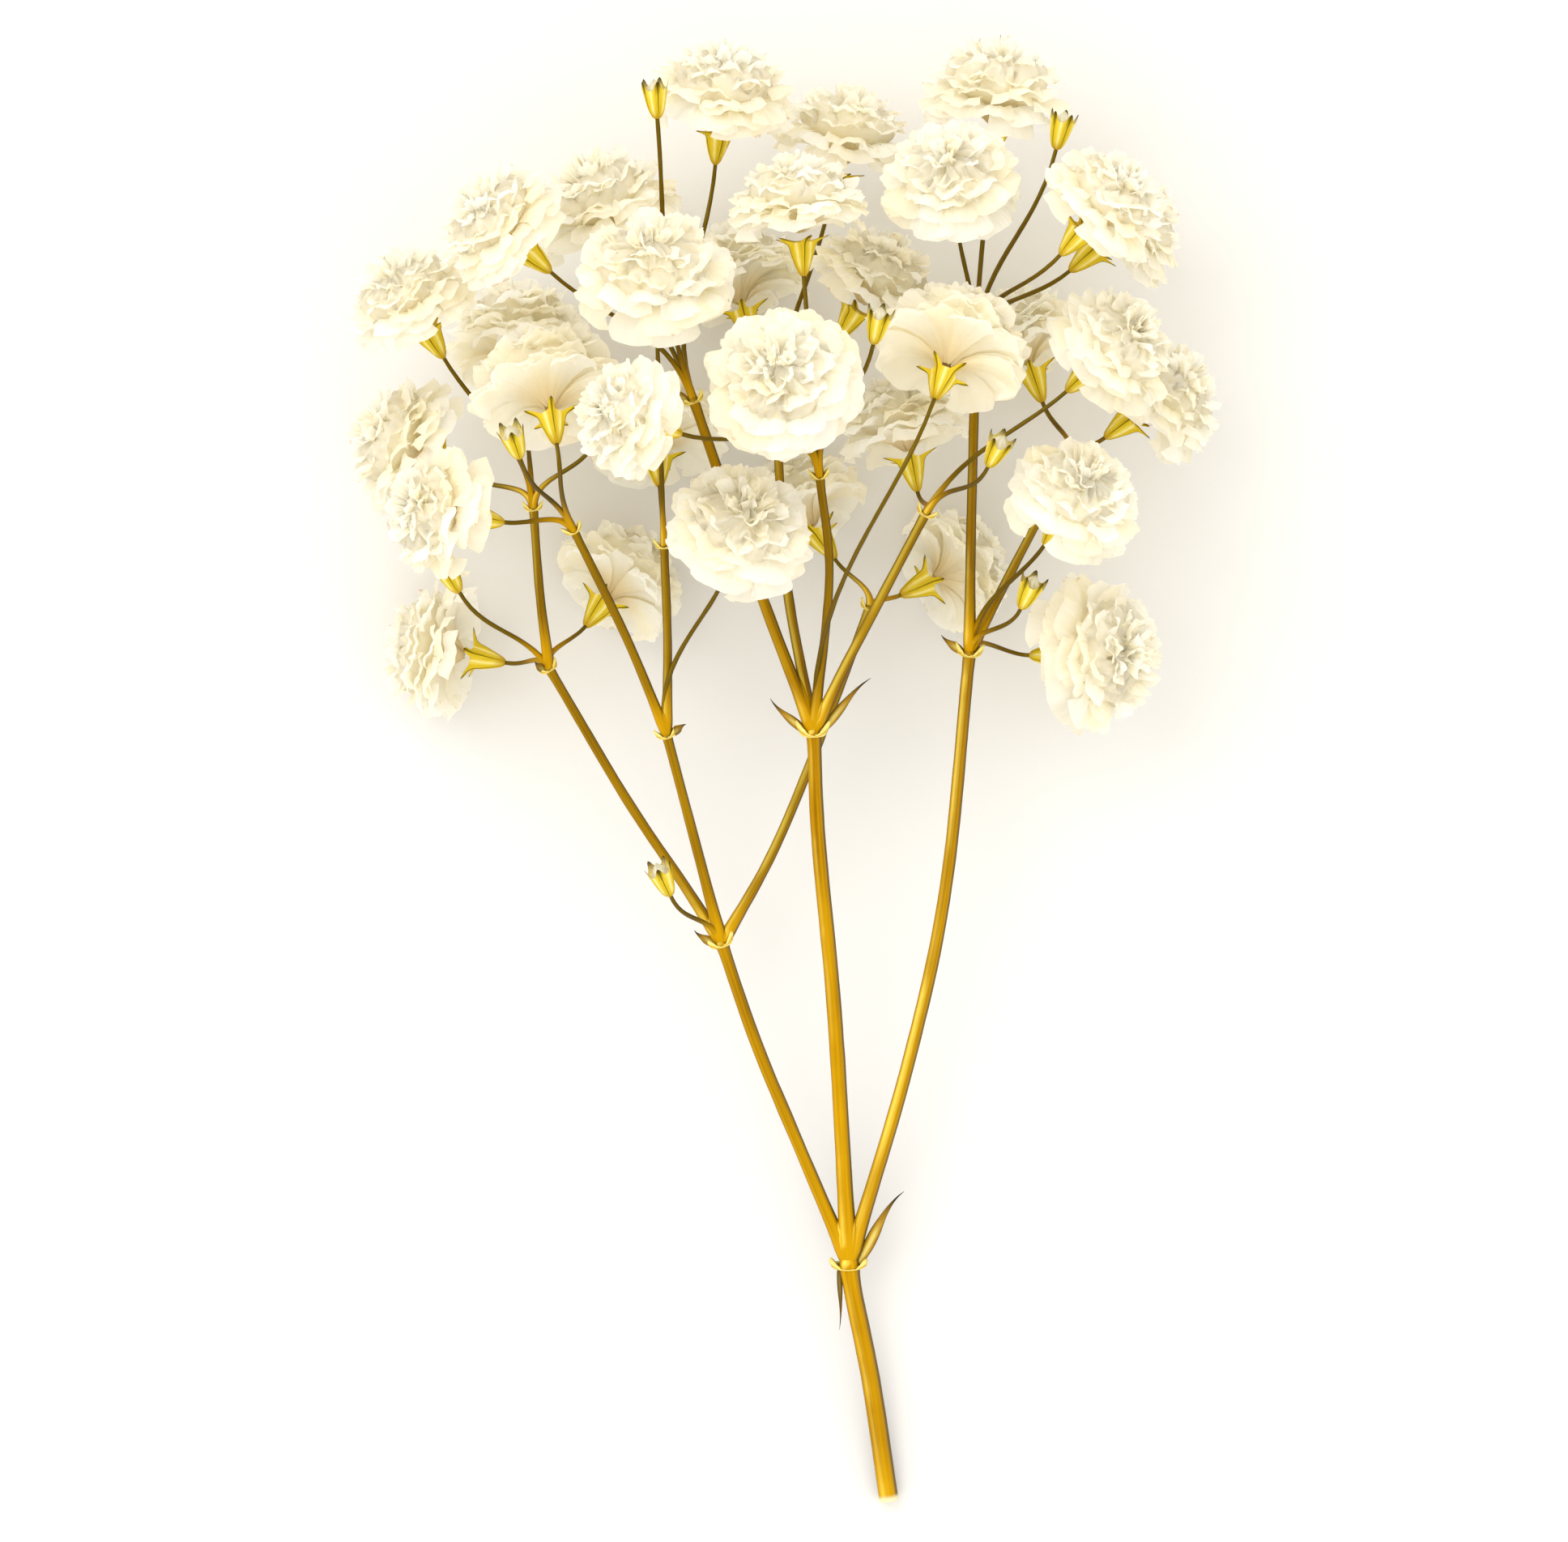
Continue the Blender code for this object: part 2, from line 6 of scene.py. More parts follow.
import logging
import math
from dataclasses import dataclass
from enum import Enum
from typing import Any, Union

import bpy
import numpy as np
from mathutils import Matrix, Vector

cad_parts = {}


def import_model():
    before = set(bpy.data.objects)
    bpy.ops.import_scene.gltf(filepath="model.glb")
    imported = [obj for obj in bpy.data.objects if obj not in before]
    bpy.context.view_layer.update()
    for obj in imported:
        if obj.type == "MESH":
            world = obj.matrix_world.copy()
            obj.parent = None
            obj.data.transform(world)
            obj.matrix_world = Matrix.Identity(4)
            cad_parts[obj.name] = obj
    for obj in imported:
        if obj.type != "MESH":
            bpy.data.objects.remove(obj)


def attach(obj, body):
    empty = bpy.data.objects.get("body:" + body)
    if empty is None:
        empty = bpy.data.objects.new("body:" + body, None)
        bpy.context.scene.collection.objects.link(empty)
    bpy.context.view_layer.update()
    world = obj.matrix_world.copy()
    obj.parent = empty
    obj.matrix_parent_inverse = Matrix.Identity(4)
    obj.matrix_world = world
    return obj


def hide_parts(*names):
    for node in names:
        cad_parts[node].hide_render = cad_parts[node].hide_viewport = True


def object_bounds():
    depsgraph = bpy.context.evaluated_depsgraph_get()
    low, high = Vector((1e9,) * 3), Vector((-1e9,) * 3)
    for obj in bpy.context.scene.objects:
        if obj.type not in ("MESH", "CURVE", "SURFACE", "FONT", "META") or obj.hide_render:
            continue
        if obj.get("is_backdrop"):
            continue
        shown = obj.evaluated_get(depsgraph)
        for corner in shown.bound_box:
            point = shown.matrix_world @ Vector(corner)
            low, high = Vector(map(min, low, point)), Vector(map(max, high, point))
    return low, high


MM = 0.001
GOLDEN_TURN = math.pi * (3 - math.sqrt(5))
# How many ribs and teeth a calyx or a bud has
RIBS = 5
UP = (0.0, 0.0, 1.0)
LOG = logging.getLogger("sprig")

# Where the cut end lies in the frame, in millimetres
CUT_END = np.array((6.9443, -48.4562, 0.0))

# Each twig: name, start joint, points on the way, radius at the start and at the end
TWIGS = (
    ("stem", None, ((0.0, 0.0, 0.78), (-1.2, 8.0, 1.9), (-2.5, 14.6, 3.0), (-2.7, 17.8, 3.7)), 0.78, 0.74),
    ("left", "stem", ((-5.9, 23.5, 4.8), (-8.8, 30.5, 6.0), (-11.0, 36.9, 7.2)), 0.52, 0.48),
    ("middle", "stem", ((-3.6, 32.0, 6.9), (-4.7, 44.0, 9.6), (-5.0, 50.8, 11.0)), 0.64, 0.56),
    ("right", "stem", ((1.2, 29.0, 5.6), (3.7, 40.8, 7.8), (5.2, 56.0, 10.6)), 0.56, 0.48),
    ("far_left", "left", ((-13.6, 41.0, 7.2), (-17.4, 46.7, 7.4), (-22.3, 55.0, 8.4)), 0.42, 0.36),
    ("left_rise", "left", ((-12.6, 43.0, 8.6), (-14.6, 50.6, 10.2)), 0.42, 0.38),
    ("left_cross", "left", ((-8.0, 42.5, 6.6), (-5.4, 48.5, 6.6), (-1.4, 59.0, 7.2)), 0.42, 0.36),
    ("outer", "far_left", ((-23.0, 60.0, 9.6), (-23.4, 65.5, 10.4)), 0.36, 0.34),
    ("rise_left", "left_rise", ((-17.2, 57.0, 12.4), (-20.6, 64.0, 15.2)), 0.36, 0.34),
    ("rise_mid", "left_rise", ((-14.6, 57.0, 11.4), (-14.8, 63.0, 12.6)), 0.36, 0.34),
    ("crown_left", "middle", ((-8.6, 60.4, 12.2), (-12.8, 72.5, 13.0)), 0.48, 0.4),
    ("crown_mid", "middle", ((-6.8, 60.9, 11.4), (-7.4, 70.5, 11.6)), 0.42, 0.36),
    ("crown_right", "middle", ((-2.6, 56.0, 12.6), (2.2, 65.1, 13.8)), 0.44, 0.36),
    ("upright", "middle", ((-4.0, 61.0, 14.8), (-4.6, 67.5, 17.6)), 0.36, 0.34),
    ("right_mid", "right", ((5.3, 64.0, 12.2), (5.6, 76.0, 13.4)), 0.42, 0.36),
    ("right_out", "right", ((8.2, 62.0, 9.6), (11.6, 68.5, 9.0)), 0.38, 0.34),
)

# Each bloom: start joint, middle of the bloom, radius, angle that it faces above the horizontal
BLOOMS = (
    ("far_left", (-28.6, 57.0, 5.0), 4.6, -12),
    ("far_left", (-17.8, 61.0, 5.2), 4.4, -30),
    ("outer", (-31.0, 70.4, 9.4), 4.7, 10),
    ("outer", (-24.8, 76.6, 5.0), 4.9, -20),
    ("rise_left", (-20.6, 71.8, 18.2), 5.0, -35),
    ("rise_left", (-29.0, 65.4, 18.0), 4.4, 25),
    ("rise_mid", (-15.4, 70.8, 6.6), 4.6, -35),
    ("rise_mid", (-14.6, 79.6, 21.4), 5.2, 40),
    ("left_rise", (-9.8, 64.0, 19.6), 4.8, 50),
    ("crown_left", (-18.6, 85.0, 11.6), 5.0, 12),
    ("crown_left", (-10.6, 92.0, 14.6), 4.8, 20),
    ("crown_left", (-24.8, 83.2, 20.0), 4.5, 20),
    ("crown_mid", (-9.4, 80.8, 6.0), 4.7, -15),
    ("crown_mid", (-3.4, 90.0, 8.6), 4.6, 5),
    ("upright", (-5.6, 73.6, 23.6), 5.1, 65),
    ("upright", (-6.2, 84.4, 20.4), 4.5, 5),
    ("middle", (4.2, 75.4, 21.2), 5.0, -38),
    ("crown_right", (1.4, 70.8, 10.4), 4.4, -10),
    ("crown_right", (12.4, 75.6, 18.4), 4.5, 30),
    ("left_cross", (-4.8, 66.6, 5.0), 4.4, -20),
    ("left_cross", (4.2, 61.8, 5.0), 4.3, -25),
    ("right", (13.2, 56.2, 10.0), 5.2, 30),
    ("right_out", (17.6, 73.0, 8.6), 4.6, 15),
    ("right_out", (8.8, 76.8, 5.2), 4.5, -15),
    ("right_mid", (6.6, 92.0, 12.2), 4.9, 12),
    ("right_mid", (15.2, 84.2, 9.6), 4.6, 5),
    ("right_mid", (2.6, 84.8, 19.0), 4.6, 45),
    ("right", (10.6, 65.6, 17.6), 4.5, 40),
    ("crown_mid", (-0.8, 79.6, 12.0), 4.4, 10),
    ("right_mid", (12.0, 85.4, 19.6), 4.4, 20),
    ("outer", (-31.0, 79.2, 14.0), 4.4, 20),
    ("upright", (-14.6, 72.4, 27.0), 4.0, 35),
)

# Each shut bud: start joint, tip of the bud
BUDS = (
    ("left", (-15.4, 42.6, 12.6)),
    ("far_left", (-29.6, 62.6, 11.4)),
    ("outer", (-18.2, 72.6, 12.4)),
    ("rise_left", (-24.8, 71.0, 23.4)),
    ("crown_left", (-15.4, 93.6, 20.0)),
    ("crown_right", (7.4, 70.4, 21.0)),
    ("right", (9.6, 61.4, 15.4)),
    ("right_mid", (11.4, 91.6, 18.4)),
    ("upright", (-0.6, 78.6, 25.0)),
)

# Each bract: the joint that it grows at, the way that it points, length, half width and how brown it is
BRACTS = (
    ("stem", (0.53, 0.84, 0.15), 5.8, 0.38, 0.0),
    ("stem", (0.0, -1.0, -0.05), 4.4, 0.18, 0.75),
    ("middle", (-0.72, 0.68, 0.1), 3.3, 0.3, 0.15),
    ("middle", (0.68, 0.73, 0.1), 4.9, 0.31, 0.1),
    ("left", (-0.7, 0.5, 0.4), 2.0, 0.3, 0.3),
    ("right", (-0.75, 0.6, 0.3), 2.0, 0.3, 0.3),
    ("far_left", (-0.4, 0.4, 0.8), 1.8, 0.28, 0.5),
    ("left_rise", (0.6, 0.4, 0.7), 1.8, 0.28, 0.5),
    ("crown_left", (-0.6, 0.5, 0.6), 2.2, 0.3, 0.4),
    ("right_mid", (0.7, 0.5, 0.5), 2.0, 0.3, 0.4),
)

# What the parts of the script hand to each other
Number = Union["Flow", float]
Place = tuple[float, float, float]
Pair = tuple[float, float]
Profile = tuple[Pair, ...]
Line = tuple[np.ndarray, np.ndarray]


# Places

def unit(vector: Union[Place, np.ndarray]) -> np.ndarray:
    """Return the vector as an array of length one."""
    array = np.array(vector, dtype=float)
    return array / np.linalg.norm(array)


def curve_through(points: list[np.ndarray], steps: int) -> np.ndarray:
    """Return a smooth row of points through the given ones.

    Args:
        points: the places that the curve passes.
        steps: how many points each stretch between two of them gets.

    Returns:
        The points of the curve, one to a row.
    """
    rows = [np.array(p, dtype=float) for p in points]
    rows = [2 * rows[0] - rows[1]] + rows + [2 * rows[-1] - rows[-2]]
    out = []
    for i in range(1, len(rows) - 2):
        a, b, c, d = rows[i - 1:i + 3]
        for k in range(steps):
            t = k / steps
            out.append(0.5 * (2 * b + (c - a) * t + (2 * a - 5 * b + 4 * c - d) * t ** 2
                              + (3 * b - a - 3 * c + d) * t ** 3))
    out.append(rows[-2])
    return np.array(out)


def arc_to(start: np.ndarray, end: np.ndarray, way_out: np.ndarray, way_in: np.ndarray,
           steps: int) -> np.ndarray:
    """Return a curve that leaves along one way and arrives along another.

    Args:
        start: the first point.
        end: the last point.
        way_out: the direction in which the curve leaves.
        way_in: the direction in which it arrives.
        steps: how many stretches the curve has.

    Returns:
        The points of the curve, one to a row.
    """
    reach = np.linalg.norm(end - start) * Sprig.ARC_REACH
    first = start + way_out * reach
    second = end - way_in * reach
    t = np.linspace(0, 1, steps + 1)[:, None]
    s = 1 - t
    return s ** 3 * start + 3 * s * s * t * first + 3 * s * t * t * second + t ** 3 * end


class Sprig:
    """Places of all twigs, buds and blooms, by the same rules as the solids that the pieces stand for."""

    ARC_REACH = 0.4
    COARSE_STEPS = 2
    COARSE_ARC = 3
    PEDICEL_RADIUS = 0.32
    CALYX_LENGTH = 2.3
    BUD_LENGTH = 2.8
    BUD_RADIUS = 0.95
    BUD_LEAN = (0.0, 0.5, 0.0)
    BLOOM_MIDDLE = 0.45
    BLOOM_REACH = 1.09
    CLEARANCE = 0.3
    ROUNDS = 160
    STEP = 0.5
    HOME_PULL = 0.02
    REST_MARGIN = 0.5
    WAIST = -0.2
    FIRST_WAIST = 2.0
    # What may touch the ground: (width, height) above the seat as shares of the bloom's radius
    REST_RINGS = ((1.0, 0.14), (0.9, 0.8), (0.58, 1.2), (0.0, 1.2))

    def __init__(self) -> None:
        """Lay out the twigs, then push the blooms apart and set the lowest down."""
        self.ends = {None: None}
        self.ways = {}
        self.coarse = []
        for name, start, points, first, _ in TWIGS:
            path = curve_through(self.whole_path(start, points), self.COARSE_STEPS)
            self.ends[name] = path[-1]
            self.ways[name] = unit(path[-1] - path[-2])
            self.coarse.append((None, path, first))
        for name, tip in BUDS:
            foot, axis = self.bud(name, tip)
            path = arc_to(self.ends[name], foot, self.ways[name], axis, self.COARSE_ARC)
            self.coarse.append((None, np.vstack([path, foot + axis * self.BUD_LENGTH]), self.BUD_RADIUS))
        self.homes = np.array([place for _, place, _, _ in BLOOMS], dtype=float)
        self.radii = np.array([radius for _, _, radius, _ in BLOOMS])
        self.middles = self.homes.copy()
        for _ in range(self.ROUNDS):
            self.push_apart()
        self.set_down()

    def whole_path(self, start: Union[str, None], points: tuple[Place, ...]) -> list[np.ndarray]:
        """Return a twig's points with the joint that it starts from put before them."""
        joint = [] if start is None else [self.ends[start]]
        return joint + [np.array(point, dtype=float) for point in points]

    def waist(self, name: str) -> np.ndarray:
        """Return the narrow foot of a joint, from which its twigs and bracts spread."""
        return self.ends[name] - self.ways[name] * (self.FIRST_WAIST if name == "stem" else self.WAIST)

    def bud(self, name: str, place: Place) -> tuple[np.ndarray, np.ndarray]:
        """Return the foot of a bud and the way that it points.

        Args:
            name: the joint that its stalk starts from.
            place: the tip of the bud.

        Returns:
            The foot and a vector of length one.
        """
        tip = np.array(place)
        axis = unit(unit(tip - self.ends[name]) + np.array(self.BUD_LEAN))
        return tip - axis * self.BUD_LENGTH, axis

    def axis(self, index: int) -> np.ndarray:
        """Return the way that a bloom faces.

        Args:
            index: the bloom's number.

        Returns:
            A vector of length one.
        """
        name, _, _, rise = BLOOMS[index]
        away = self.middles[index] - self.ends[name]
        level = unit((away[0], away[1], 0.0)) * math.cos(math.radians(rise))
        return unit((level[0], level[1], math.sin(math.radians(rise))))

    def seat(self, index: int) -> np.ndarray:
        """Return the top of the calyx that a bloom sits on."""
        return self.middles[index] - self.axis(index) * self.BLOOM_MIDDLE * self.radii[index]

    def pedicel(self, index: int, steps: int) -> np.ndarray:
        """Return the path of the pedicel that carries a bloom, up to the foot of its calyx.

        Args:
            index: the bloom's number.
            steps: how many stretches the path has.

        Returns:
            The points of the path, one to a row.
        """
        name = BLOOMS[index][0]
        axis = self.axis(index)
        foot = self.seat(index) - axis * self.CALYX_LENGTH
        return arc_to(self.ends[name], foot, self.ways[name], axis, steps)

    def push_apart(self) -> None:
        """Move each bloom a little away from all that it is too near to, and a little towards its place."""
        reach = self.radii * self.BLOOM_REACH
        moves = (self.homes - self.middles) * self.HOME_PULL
        gaps = self.middles[:, None] - self.middles[None]
        spans = np.linalg.norm(gaps, axis=2)
        np.fill_diagonal(spans, np.inf)
        lack = np.clip(reach[:, None] + reach[None] + self.CLEARANCE - spans, 0, None)
        moves += (gaps * (lack / spans)[..., None]).sum(axis=1) * self.STEP
        rods = [(i, self.pedicel(i, self.COARSE_ARC), self.PEDICEL_RADIUS) for i in range(len(BLOOMS))]
        for owner, path, radius in self.coarse + rods:
            gap = self.middles - self.nearest(path)
            span = np.linalg.norm(gap, axis=1)
            lack = np.clip(reach + radius + self.CLEARANCE - span, 0, None)
            if owner is not None:
                lack[owner] = 0
            moves += gap * (lack / span)[:, None] * self.STEP
        self.middles += moves
        self.middles[:, 2] = np.maximum(self.middles[:, 2], reach)

    def nearest(self, path: np.ndarray) -> np.ndarray:
        """Return for each bloom the point of a path that is nearest to its middle.

        Args:
            path: the points of the path.

        Returns:
            One point for each bloom.
        """
        start = path[:-1]
        along = path[1:] - start
        share = ((self.middles[:, None] - start) * along).sum(axis=2) / (along ** 2).sum(axis=1)
        spots = start + along * np.clip(share, 0, 1)[..., None]
        best = np.linalg.norm(self.middles[:, None] - spots, axis=2).argmin(axis=1)
        return spots[np.arange(len(best)), best]

    def set_down(self) -> None:
        """Lower the blooms that are next to the ground until the petals' rim touches it."""
        for i, radius in enumerate(self.radii):
            if self.middles[i][2] < radius * self.BLOOM_REACH + self.REST_MARGIN:
                up = self.axis(i)[2]
                level = math.sqrt(1 - up * up)
                hang = radius * max(width * level - height * up for width, height in self.REST_RINGS)
                self.middles[i][2] += hang - self.seat(i)[2]


# Node trees built in code

class Flow:
    """A number or vector that flows through a node tree, with the usual arithmetic for numbers."""

    def __init__(self, nodes: "Nodes", socket: bpy.types.NodeSocket) -> None:
        """Remember the tree and the socket that the value comes out of."""
        self.nodes = nodes
        self.socket = socket

    def __add__(self, other: Number) -> "Flow":
        """Add a number."""
        return self.nodes.maths("ADD", self, other)

    __radd__ = __add__

    def __sub__(self, other: Number) -> "Flow":
        """Subtract a number."""
        return self.nodes.maths("SUBTRACT", self, other)

    def __rsub__(self, other: Number) -> "Flow":
        """Subtract from a number."""
        return self.nodes.maths("SUBTRACT", other, self)

    def __mul__(self, other: Number) -> "Flow":
        """Multiply by a number."""
        return self.nodes.maths("MULTIPLY", self, other)

    __rmul__ = __mul__

    def __truediv__(self, other: Number) -> "Flow":
        """Divide by a number."""
        return self.nodes.maths("DIVIDE", self, other)

    def __pow__(self, other: Number) -> "Flow":
        """Raise to a power."""
        return self.nodes.maths("POWER", self, other)


class Nodes:
    """A node tree that is built in code, of shader nodes or of geometry nodes."""

    def __init__(self, tree: bpy.types.NodeTree) -> None:
        """Remember the tree to build in."""
        self.tree = tree

    def node(self, kind: str, inputs: Union[dict, None] = None, **settings: Any) -> bpy.types.Node:
        """Add a node.

        Args:
            kind: Blender's name for the kind of node.
            inputs: what goes into its sockets, by socket identifier.
            settings: the node's own options.

        Returns:
            The new node.
        """
        made = self.tree.nodes.new(kind)
        for option, value in settings.items():
            setattr(made, option, value)
        for identifier, value in (inputs or {}).items():
            socket = next(s for s in made.inputs if s.identifier == identifier)
            if isinstance(value, Flow):
                self.tree.links.new(value.socket, socket)
            elif value is not None:
                socket.default_value = value
        return made

    def flow(self, kind: str, inputs: Union[dict, None] = None, output: str = "", **settings: Any) -> Flow:
        """Add a node and return what comes out of it.

        Args:
            kind: Blender's name for the kind of node.
            inputs: what goes into its sockets, by socket identifier.
            output: identifier of the output; the first one that is in use if left out.
            settings: the node's own options.

        Returns:
            The value that comes out.
        """
        made = self.node(kind, inputs, **settings)
        if output:
            return Flow(self, next(s for s in made.outputs if s.identifier == output))
        return Flow(self, next(s for s in made.outputs if s.enabled))

    def maths(self, way: str, *values: Number) -> Flow:
        """Combine numbers by a Math node."""
        inputs = dict(zip(("Value", "Value_001", "Value_002"), values))
        return self.flow("ShaderNodeMath", inputs, operation=way)

    def vector(self, x: Number = 0.0, y: Number = 0.0, z: Number = 0.0) -> Flow:
        """Put three numbers together as a vector."""
        return self.flow("ShaderNodeCombineXYZ", {"X": x, "Y": y, "Z": z})

    def split(self, vector: Flow) -> tuple[Flow, Flow, Flow]:
        """Take a vector apart."""
        made = self.node("ShaderNodeSeparateXYZ", {"Vector": vector})
        return tuple(Flow(self, socket) for socket in made.outputs)

    def arrows(self, way: str, *values: Union[Flow, Place]) -> Flow:
        """Combine vectors by a Vector Math node."""
        inputs = dict(zip(("Vector", "Vector_001", "Vector_002"), values))
        return self.flow("ShaderNodeVectorMath", inputs, operation=way)

    def length(self, vector: Flow) -> Flow:
        """Return the length of a vector."""
        return self.flow("ShaderNodeVectorMath", {"Vector": vector}, "Value", operation="LENGTH")

    def scaled(self, vector: Flow, size: Number) -> Flow:
        """Multiply a vector by a number."""
        return self.flow("ShaderNodeVectorMath", {"Vector": vector, "Scale": size}, operation="SCALE")

    def blend(self, share: Number, low: Number, high: Number) -> Flow:
        """Return the number that lies the given share of the way from low to high."""
        return self.maths("MULTIPLY_ADD", share, self.maths("SUBTRACT", high, low), low)

    def ease(self, value: Flow, start: float, end: float) -> Flow:
        """Return a number that goes gently from 0 at the start to 1 at the end."""
        return self.flow("ShaderNodeMapRange", {"Value": value, "From Min": start, "From Max": end},
                         interpolation_type="SMOOTHSTEP")

    def crest(self, turn: Flow) -> Flow:
        """Return a number that is 1 along five ribs round a stalk or calyx and 0 between them."""
        return self.maths("ABSOLUTE", self.maths("COSINE", turn * (RIBS / 2)))

    def noise(self, vector: Flow, scale: float, detail: float = 2.0, rough: float = 0.5) -> Flow:
        """Return smooth noise between 0 and 1."""
        return self.flow("ShaderNodeTexNoise", {"Vector": vector, "Scale": scale, "Detail": detail,
                                                "Roughness": rough}, "Fac")

    def outline(self, value: Flow, points: Profile) -> Flow:
        """Return the height of a smooth curve through the given points, which start at 0 and end at 1.

        Args:
            value: how far along the curve to look, from 0 to 1.
            points: the points that the curve passes.

        Returns:
            The height of the curve there.
        """
        made = self.node("ShaderNodeFloatCurve", {"Value": value})
        made.mapping.use_clip = False
        curve = made.mapping.curves[0]
        curve.points[0].location = points[0]
        curve.points[1].location = points[-1]
        for point in points[1:-1]:
            curve.points.new(*point)
        made.mapping.update()
        return Flow(self, made.outputs[0])


class Kind(Enum):
    """What a named input of a shape tree takes."""

    NUMBER = "NodeSocketFloat"
    WHOLE = "NodeSocketInt"
    WAY = "NodeSocketVector"
    FINISH = "NodeSocketMaterial"


class ShapeTree(Nodes):
    """A Geometry Nodes tree with named inputs that ends in real faces with one finish."""

    SEAM = 2e-6

    def __init__(self, name: str) -> None:
        """Start the tree with its geometry input and output and its finish.

        Args:
            name: the name of the tree.
        """
        super().__init__(bpy.data.node_groups.new(name, "GeometryNodeTree"))
        self.tree.interface.new_socket("Geometry", in_out="INPUT", socket_type="NodeSocketGeometry")
        self.tree.interface.new_socket("Geometry", in_out="OUTPUT", socket_type="NodeSocketGeometry")
        self.entry = self.tree.nodes.new("NodeGroupInput")
        self.exit = self.tree.nodes.new("NodeGroupOutput")
        self.names = {}
        self.finish = self.input("Finish", Kind.FINISH)
        self.base = Flow(self, self.entry.outputs[0])

    def input(self, name: str, kind: Kind) -> Flow:
        """Add a named input and return what comes in by it.

        Args:
            name: the name of the input.
            kind: what it takes.

        Returns:
            What comes in.
        """
        socket = self.tree.interface.new_socket(name, in_out="INPUT", socket_type=kind.value)
        self.names[name] = socket.identifier
        return Flow(self, next(s for s in self.entry.outputs if s.identifier == socket.identifier))

    def place(self) -> Flow:
        """Return each point's place."""
        return self.flow("GeometryNodeInputPosition")

    def named(self, name: str, kind: str = "FLOAT") -> Flow:
        """Return what was stored under a name."""
        return self.flow("GeometryNodeInputNamedAttribute", {"Name": name}, "Attribute", data_type=kind)

    def store(self, shape: Flow, name: str, value: Number, kind: str = "FLOAT") -> Flow:
        """Store a value at each point under a name and return the shape."""
        inputs = {"Geometry": shape, "Name": name, "Value": value}
        return self.flow("GeometryNodeStoreNamedAttribute", inputs, data_type=kind, domain="POINT")

    def chance(self, low: float, high: float, owner: Flow, seed: Number) -> Flow:
        """Return a random number that is the same for all points of one owner."""
        limits = {"Min_001": low, "Max_001": high}
        return self.flow("FunctionNodeRandomValue", {**limits, "ID": owner, "Seed": seed}, data_type="FLOAT")

    def index(self) -> Flow:
        """Return each point's number."""
        return self.flow("GeometryNodeInputIndex")

    def moved(self, shape: Flow, place: Flow) -> Flow:
        """Put each point of a shape in the given place."""
        return self.flow("GeometryNodeSetPosition", {"Geometry": shape, "Position": place})

    def joined(self, *shapes: Flow) -> Flow:
        """Put shapes together.

        Args:
            shapes: the shapes to put together.

        Returns:
            All of them as one shape.
        """
        made = self.node("GeometryNodeJoinGeometry")
        for shape in shapes:
            self.tree.links.new(shape.socket, made.inputs[0])
        return Flow(self, made.outputs[0])

    def facing(self, way: Flow) -> Flow:
        """Return the rotation that turns up into the given way."""
        return self.flow("FunctionNodeAlignRotationToVector", {"Vector": way}, axis="Z")

    def sheet(self, rows: int, columns: int) -> tuple[Flow, Flow, Flow]:
        """Make a flat sheet to be shaped, with the share along it and the share across it.

        Args:
            rows: how many points it has along its length.
            columns: how many points it has across.

        Returns:
            The sheet, the share along it and the share across it.
        """
        shape = self.flow("GeometryNodeMeshGrid", {"Size X": 1.0, "Size Y": 1.0, "Vertices X": rows,
                                                   "Vertices Y": columns}, "Mesh")
        x, y, _ = self.split(self.place())
        return shape, x + 0.5, y + 0.5

    def spun(self, rows: int, columns: int) -> tuple[Flow, Flow, Flow]:
        """Make a sheet to be wrapped round, with the share up it and the turn round it stored.

        Args:
            rows: how many points it has from its foot to its top.
            columns: how many points it has round its middle.

        Returns:
            The sheet, the share up it and the turn round it.
        """
        shape, rise, round_share = self.sheet(rows, columns + 1)
        turn = round_share * (2 * math.pi)
        around = self.vector(self.maths("COSINE", turn), self.maths("SINE", turn), 0.0)
        shape = self.store(shape, "rise", rise)
        shape = self.store(shape, "turn", turn)
        shape = self.store(shape, "around", around, "FLOAT_VECTOR")
        return shape, self.named("rise"), self.named("turn")

    def wrapped(self, shape: Flow, radius: Flow, height: Flow) -> Flow:
        """Wrap a sheet round the upright axis, close its seam and its ends and turn its faces outwards.

        Args:
            shape: a sheet that was made to be wrapped.
            radius: how far from the axis each point goes.
            height: how far up the axis each point goes.

        Returns:
            The closed shape.
        """
        place = self.arrows("ADD", self.scaled(self.named("around", "FLOAT_VECTOR"), radius),
                            self.vector(0.0, 0.0, height))
        rolled = {"Geometry": self.moved(shape, place), "Distance": self.SEAM}
        return self.flow("GeometryNodeFlipFaces", {"Mesh": self.flow("GeometryNodeMergeByDistance", rolled)})

    def ring(self, sides: int) -> Flow:
        """Make the closed line that is drawn along a path."""
        return self.flow("GeometryNodeCurvePrimitiveCircle", {"Resolution": sides, "Radius": 1.0}, "Curve")

    def drawn(self, lines: Flow, ring: Flow) -> Flow:
        """Draw a ring along lines, as wide at each point as was stored for it, and close both ends.

        Args:
            lines: the paths.
            ring: the closed line that is drawn along them.

        Returns:
            The closed tubes.
        """
        inputs = {"Curve": lines, "Profile Curve": ring, "Scale": self.named("thick"), "Fill Caps": True}
        return self.flow("GeometryNodeCurveToMesh", inputs)

